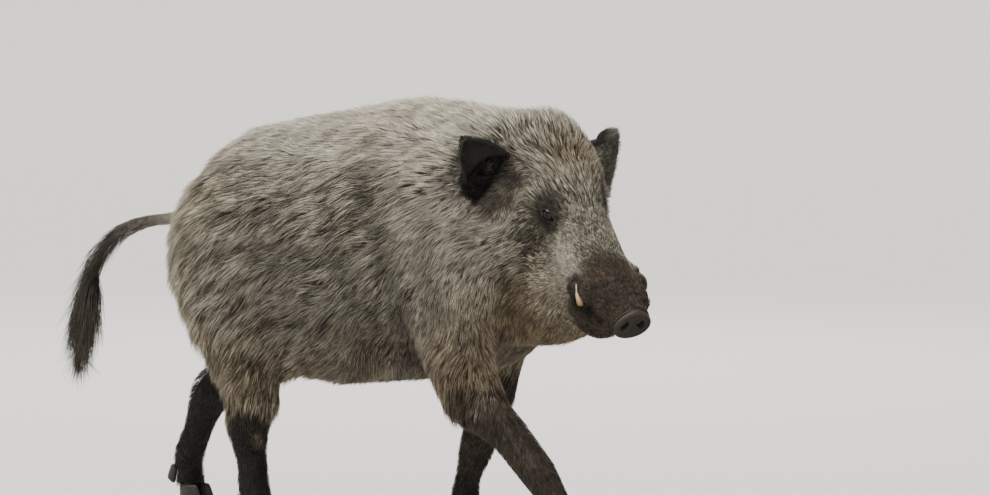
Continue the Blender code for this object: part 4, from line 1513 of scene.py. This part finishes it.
# %% Coat pieces
TUFT_UV = np.array([(0.5, 0.0), (0.12, 0.42), (0.88, 0.42), (0.5, 0.46), (0.5, 1.0)]) * PATCH_SIZE
ALONG = np.array([0.0, WIDEST, WIDEST, WIDEST + 0.06, 1.0])  # of a tuft's five points, from root to tip
wisp_shade = DICE.normal(0, 0.10, len(roots))[leader_of]
tuft_shade = 0.49 + DICE.normal(0, 0.25, len(roots)) * (1 - 0.22 * on_head) + wisp_shade
tuft_shade += 0.13 * streak + 0.075 * wander(roots, 0.035, 9) + 0.045 * wander(roots, 0.14, 10)
tuft_shade = np.clip(tuft_shade, 0.10, 1)


def build_layer(name, numbers, patches, slot):
    count = len(numbers)
    mesh = bpy.data.meshes.new(name)
    mesh.vertices.add(count * len(ALONG))
    mesh.loops.add(count * TUFT_FACES.size)
    mesh.polygons.add(count * len(TUFT_FACES))
    mesh.vertices.foreach_set("co", tuft_points(numbers).astype(np.float32).ravel())
    corners = (TUFT_FACES.ravel()[None] + len(ALONG) * np.arange(count)[:, None]).ravel()
    mesh.loops.foreach_set("vertex_index", corners.astype(np.int32))
    mesh.polygons.foreach_set("loop_start", np.arange(0, len(corners), 3, dtype=np.int32))
    mesh.update(calc_edges=True)
    mesh.shade_smooth()
    flat = (patches[:, None, :] + TUFT_UV[None]).reshape(-1, 2)
    uv = mesh.uv_layers.new(name="OFBake")
    uv.data.foreach_set("uv", flat[corners].astype(np.float32).ravel())
    put_attribute(mesh, "along", np.tile(ALONG, count))
    put_attribute(mesh, "shade", np.repeat(tuft_shade[numbers], len(ALONG)))
    for trait, values in root_marks.items():
        put_attribute(mesh, trait, np.repeat(values[numbers], len(ALONG)))
    return add_piece(new_object(name, mesh), slot)


root_marks = markings(roots, root_ear, root_tail)
coat = [build_layer(f"coat_{n + 1}", *layer, "coat") for n, layer in enumerate(coat_layers)]
coat += [build_layer(f"dark_hair_{n + 1}", *layer, "dark_coat") for n, layer in enumerate(dark_layers)]
print("coat:", [len(piece.data.polygons) for piece in coat], "faces")
add_piece(skin, "coat", *FLESH)
bpy.ops.object.shade_smooth()

# %% [markdown]
# ## Finishes
# Materials are nodes, and arithmetic on nodes is easier to read as arithmetic. `Wire` wraps one socket,
# so that `0.4 + 0.6 * shade` adds the Math nodes for it. `Finish` makes a material and any node in it.


# %% Node arithmetic
class Wire:
    """A number that flows through a material. Arithmetic on it adds Math nodes."""

    def __init__(self, finish, socket):
        self.finish = finish
        self.socket = socket

    def math(self, operation, one, other, clamp=False):
        settings = {"operation": operation, "use_clamp": clamp}
        return self.finish.node("ShaderNodeMath", settings, {0: one, 1: other})

    def __add__(self, other):
        return self.math("ADD", self, other)

    def __sub__(self, other):
        return self.math("SUBTRACT", self, other)

    def __rsub__(self, other):
        return self.math("SUBTRACT", other, self)

    def __mul__(self, other):
        return self.math("MULTIPLY", self, other)

    def __truediv__(self, other):
        return self.math("DIVIDE", self, other)

    __radd__ = __add__  # a sum or a product is the same both ways
    __rmul__ = __mul__

    def clamped(self):
        return self.math("ADD", self, 0.0, clamp=True)


class Finish:
    """A Principled material and the nodes that feed it."""

    def __init__(self, name, **values):
        self.material = bpy.data.materials.new(name)
        self.material.use_nodes = True
        self.tree = self.material.node_tree
        self.shader = self.tree.nodes["Principled BSDF"]
        self.give(**values)

    def give(self, **values):
        """Feeds the shader's own sockets with wires, numbers or colours."""
        for socket, value in values.items():
            self.feed(self.shader.inputs[socket.replace("_", " ")], value)

    def node(self, kind, settings=None, sockets=None, output=0):
        made = self.tree.nodes.new(kind)
        for key, value in (settings or {}).items():
            setattr(made, key, value)
        for key, value in (sockets or {}).items():
            self.feed(made.inputs[key], value)
        return Wire(self, made.outputs[output])

    def feed(self, socket, value):
        if isinstance(value, Wire):
            self.tree.links.new(value.socket, socket)
        elif socket.type == "RGBA":
            socket.default_value = (*value, 1)
        else:
            socket.default_value = value

    def trait(self, name):
        """A number kept at each point of the mesh."""
        return self.node("ShaderNodeAttribute", {"attribute_name": name}, output="Fac")

    def place(self):
        return self.node("ShaderNodeTexCoord", output="Object")

    def noise(self, scale, detail=2.0):
        sockets = {"Vector": self.place(), "Scale": scale, "Detail": detail}
        return self.node("ShaderNodeTexNoise", sockets=sockets, output="Fac")

    def blend(self, share, first, second):
        """The first colour, going over to the second as the share rises from 0 to 1."""
        return self.node("ShaderNodeMix", {"data_type": "RGBA"}, {0: share, 6: first, 7: second}, output=2)

    def colours(self, value, *stops):
        """A colour ramp with these places and colours."""
        wire = self.node("ShaderNodeValToRGB", sockets={0: value})
        band = wire.socket.node.color_ramp
        while len(band.elements) < len(stops):
            band.elements.new(1.0)
        for element, (place, colour) in zip(band.elements, stops):
            element.position = place
            element.color = (*colour, 1)
        return wire

    def bump(self, height, strength, distance):
        sockets = {"Height": height, "Strength": strength, "Distance": distance}
        self.give(Normal=self.node("ShaderNodeBump", sockets=sockets))

    def on(self, *pieces):
        for piece in pieces:
            piece.data.materials.clear()
            piece.data.materials.append(self.material)


print("finishes are made with", Finish.__name__)

# %% [markdown]
# A single bristle is dark at the root and pale at the tip, and no two are the same, which makes the
# grizzled look. The pale tips are only on the upper part of the hair. The markings then pull the
# colour towards brown on the snout and black on the legs, the ears and the tail.


# %% Coat and skin
GRIZZLED = (
    (0.0, (0.019, 0.016, 0.012)),
    (0.30, (0.112, 0.101, 0.078)),
    (0.62, (0.375, 0.348, 0.275)),
    (1.0, (0.72, 0.685, 0.565)),
)
WARM_HAIR = ((0.0, (0.021, 0.014, 0.009)), (0.40, (0.165, 0.110, 0.060)), (1.0, (0.70, 0.53, 0.33)))
BROWN_HAIR = ((0.0, (0.008, 0.005, 0.0035)), (0.5, (0.036, 0.022, 0.0130)), (1.0, (0.125, 0.080, 0.047)))
BLACK_HAIR = ((0.0, (0.003, 0.003, 0.003)), (0.5, (0.011, 0.0105, 0.010)), (1.0, (0.045, 0.040, 0.035)))


def coat_colour(finish, along, shade):
    light = (shade * (0.27 + 0.99 * along)).clamped()
    hair = finish.colours(light, *GRIZZLED)
    hair = finish.blend(finish.trait("warm") * 0.85, hair, finish.colours(light, *WARM_HAIR))
    # Painted light on the back, the shoulders and the rump, with the cheeks' own pale stripe.
    hair = finish.blend(finish.trait("pale_and_lit") * 0.70, hair, finish.blend(0.50, hair, (0.84, 0.79, 0.69)))
    hair = finish.blend(finish.trait("brown") * 0.93, hair, finish.colours(light, *BROWN_HAIR))
    hair = finish.blend(finish.trait("black"), hair, finish.colours(light, *BLACK_HAIR))
    # Painted shade: towards near-black in the folds, on the flanks, on top of the head and low on the hind
    # quarters.
    return finish.blend(finish.trait("painted_shade") * 0.55, hair, (0.020, 0.015, 0.012))


def finish_coat():
    finish = Finish("bristle", Roughness=0.62, Specular_IOR_Level=0.22)
    finish.give(Base_Color=coat_colour(finish, finish.trait("along"), finish.trait("shade")))
    finish.on(*coat)


def finish_skin():
    """Short fur drawn as fine streaks, over the colour that the tufts have near their roots."""
    finish = Finish("short_fur", Specular_IOR_Level=0.3)
    speckle = finish.noise(900)
    shade = (0.25 + 0.5 * finish.noise(60, 3.0) + 0.35 * (speckle - 0.5)).clamped()
    colour = coat_colour(finish, shade * 0.35, shade)
    lid = finish.trait("lid")
    finish.give(Base_Color=finish.blend(lid, colour, (0.014, 0.010, 0.008)), Roughness=0.70 - 0.35 * lid)
    finish.bump(speckle + 0.4 * finish.noise(350), 0.5, 0.0008)
    finish.on(skin)


finish_coat()
finish_skin()
print("finished:", [material.name for material in bpy.data.materials])

# %% [markdown]
# The disc is bare, moist skin: dark, finely pored, and paler along its rim. The tusk is ivory, stained
# brown towards the lip. Horn is nearly black with paler, worn edges. The eye is the glossiest thing.


# %% Disc, tusks, horn and eyes
DISC_COLOURS = (
    (0.25, (0.007, 0.0055, 0.0042)),
    (0.60, (0.015, 0.0115, 0.0085)),
    (0.85, (0.027, 0.0210, 0.0160)),
)
IVORY_COLOURS = ((0.0, (0.10, 0.055, 0.024)), (0.45, (0.42, 0.26, 0.10)), (0.9, (0.70, 0.54, 0.31)))
HORN_COLOURS = ((0.2, (0.009, 0.007, 0.006)), (0.8, (0.030, 0.024, 0.019)))
EYE_COLOURS = (
    (0.0, (0.002, 0.002, 0.002)),  # pupil
    (0.30, (0.002, 0.002, 0.002)),
    (0.34, (0.020, 0.010, 0.005)),  # iris
    (0.60, (0.013, 0.007, 0.004)),
    (0.68, (0.004, 0.003, 0.002)),
    (0.90, (0.030, 0.022, 0.018)),  # the white, which is dark too
)


def mark_disc(mesh):
    """Keeps at each point how far it lies in a nostril and on the paler rim."""
    x, y, z = to_head(points_of(mesh)).T
    away = np.minimum(*[np.hypot(y - side * NOSTRIL_OUT, z - DISC_RISE) for side in (-1, 1)])
    around = np.hypot(y / DISC_HALF[0], (z - DISC_RISE) / DISC_HALF[1])
    put_attribute(mesh, "hole", ramp(away, 0.0085, 0.0055) * ramp(x, 0.3005, 0.2985))
    put_attribute(mesh, "rim", 0.75 * ramp(around, 0.80, 0.93) * (0.4 + 0.6 * ramp(z, -0.03, 0.0)))


def finish_disc():
    finish = Finish("disc_skin", Specular_IOR_Level=0.16)
    pores = finish.node("ShaderNodeTexVoronoi", {}, {"Vector": finish.place(), "Scale": 650.0}, "Distance")
    stain = finish.noise(70, 4.0)
    colour = finish.blend(finish.trait("rim"), finish.colours(stain, *DISC_COLOURS), (0.048, 0.037, 0.028))
    # Painted shade: the nostrils are nearly black inside.
    colour = finish.blend(finish.trait("hole"), colour, (0.003, 0.002, 0.002))
    finish.give(Base_Color=colour, Roughness=0.45 + 0.25 * stain)
    finish.bump(pores + 0.6 * stain, 0.35, 0.0006)
    finish.on(snout)


def finish_tusk():
    finish = Finish("ivory", Specular_IOR_Level=0.5)
    streak = finish.noise(220, 3.0)
    stain = (finish.trait("up_tusk") + 0.35 * (streak - 0.5)).clamped()
    finish.give(Base_Color=finish.colours(stain, *IVORY_COLOURS), Roughness=0.30 + 0.2 * streak)
    finish.bump(streak, 0.25, 0.0004)
    finish.on(*tusks)


def finish_horn():
    finish = Finish("horn", Specular_IOR_Level=0.4)
    grain = finish.noise(160, 3.0)
    worn = (1.0 - finish.trait("up_claw") * 5.0).clamped() * 0.6
    colour = finish.blend(worn, finish.colours(grain, *HORN_COLOURS), (0.080, 0.064, 0.050))
    finish.give(Base_Color=colour, Roughness=0.42 + 0.3 * grain)
    finish.bump(grain, 0.3, 0.0008)
    finish.on(*horn)


def finish_eyes():
    finish = Finish("eye_shine", Roughness=0.09, Specular_IOR_Level=0.24)
    from_pupil = (finish.trait("from_pupil") / EYE_RADIUS).clamped()
    finish.give(Base_Color=finish.colours(from_pupil, *EYE_COLOURS))
    finish.on(*eyeballs)


mark_disc(snout.data)
finish_disc()
finish_tusk()
finish_horn()
finish_eyes()
print("materials:", sorted(m.name for m in bpy.data.materials if m.users))

# %% [markdown]
# ## Stage
# A wide pale floor and a pale sky make a plain studio. A soft sun stands high on the boar's right. Three
# large lamps fill the shadows: one before him, one behind his right flank, and one behind his left,
# which lights the edge of his back.

# %% Floor and light
FLOOR_RADIUS = 40
COVE_START = 14  # the flat floor ends here and curves up
COVE_RINGS = 14
COVE_HEIGHT = 9

bpy.ops.object.select_all(action="DESELECT")
bpy.ops.mesh.primitive_circle_add(vertices=96, radius=FLOOR_RADIUS, fill_type="NGON")
floor = named("floor")
inset_rings(COVE_RINGS, (FLOOR_RADIUS - COVE_START) / COVE_RINGS)
places = points_of(floor.data)
out = np.clip(np.hypot(places[:, 0], places[:, 1]) - COVE_START, 0, None) / (FLOOR_RADIUS - COVE_START)
places[:, 2] = COVE_HEIGHT * out**2
set_points(floor.data, places)
bpy.ops.object.shade_smooth()
floor_finish = Finish("pale_floor", Roughness=0.9, Specular_IOR_Level=0.0, Base_Color=(0.68, 0.676, 0.664))
floor_finish.on(floor)

world = bpy.data.worlds.new("studio")
world.use_nodes = True
sky = world.node_tree.nodes["Background"]
sky.inputs["Strength"].default_value = 0.36
heading = world.node_tree.nodes.new("ShaderNodeTexCoord")
upward = world.node_tree.nodes.new("ShaderNodeSeparateXYZ")
bright = world.node_tree.nodes.new("ShaderNodeValToRGB")
bright.color_ramp.elements[0].color = (0.80, 0.80, 0.79, 1)
bright.color_ramp.elements[1].color = (0.95, 0.96, 0.97, 1)
bright.color_ramp.elements[1].position = 0.5
world.node_tree.links.new(heading.outputs["Generated"], upward.inputs[0])
world.node_tree.links.new(upward.outputs["Z"], bright.inputs[0])
world.node_tree.links.new(bright.outputs[0], sky.inputs["Color"])
bpy.context.scene.world = world


def add_light(kind, name, place, size, power, colour):
    """A lamp that looks at the boar. A sun's size is an angle and an area's a width."""
    bpy.ops.object.light_add(type=kind, location=place)
    light = named(name)
    setattr(light.data, "angle" if kind == "SUN" else "size", size)
    light.data.energy = power
    light.data.color = colour
    aim(light, Vector((0, 0, 0.5)) - Vector(place))


add_light("SUN", "key", (-0.7, -1.5, 4.4), math.radians(12), 5.6, (1.0, 0.965, 0.90))
add_light("AREA", "fill", (3.6, -3.4, 1.6), 3.0, 30, (0.94, 0.97, 1.0))
add_light("AREA", "rear", (-4.0, -2.6, 1.8), 2.5, 45, (1.0, 0.97, 0.93))
add_light("AREA", "back", (-2.5, 3.4, 3.2), 2.5, 90, (1.0, 0.98, 0.94))

# %% [markdown]
# The camera stands a little above the boar's back, seven metres away on its right front, as a long lens
# would be used on a wild animal. The frame is shifted to the right and up, so that the boar fills its
# left part with his feet below its lower edge.

# %% Camera
AZIMUTH, ELEVATION, DISTANCE = math.radians(43), math.radians(5.6), 7.2
AIM = Vector((SHIFT_X, 0, 0.45))
SENSOR_WIDTH = 36  # millimetres
SEEN_WIDTH = 2.02868852  # metres across the frame at the boar's distance
FRAME_SHIFT = (0.083838384, 0.083333333)  # as shares of the frame's width

level = math.cos(ELEVATION)
back = Vector((math.sin(AZIMUTH) * level, -math.cos(AZIMUTH) * level, math.sin(ELEVATION)))
bpy.ops.object.camera_add(location=AIM + back * DISTANCE)
camera = named("camera")
aim(camera, -back)
camera.data.sensor_width = SENSOR_WIDTH
camera.data.lens = SENSOR_WIDTH * DISTANCE / SEEN_WIDTH
camera.data.shift_x, camera.data.shift_y = FRAME_SHIFT
bpy.context.scene.camera = camera
print("lens", round(camera.data.lens, 1), "mm, camera height", round(camera.location.z, 2), "m")
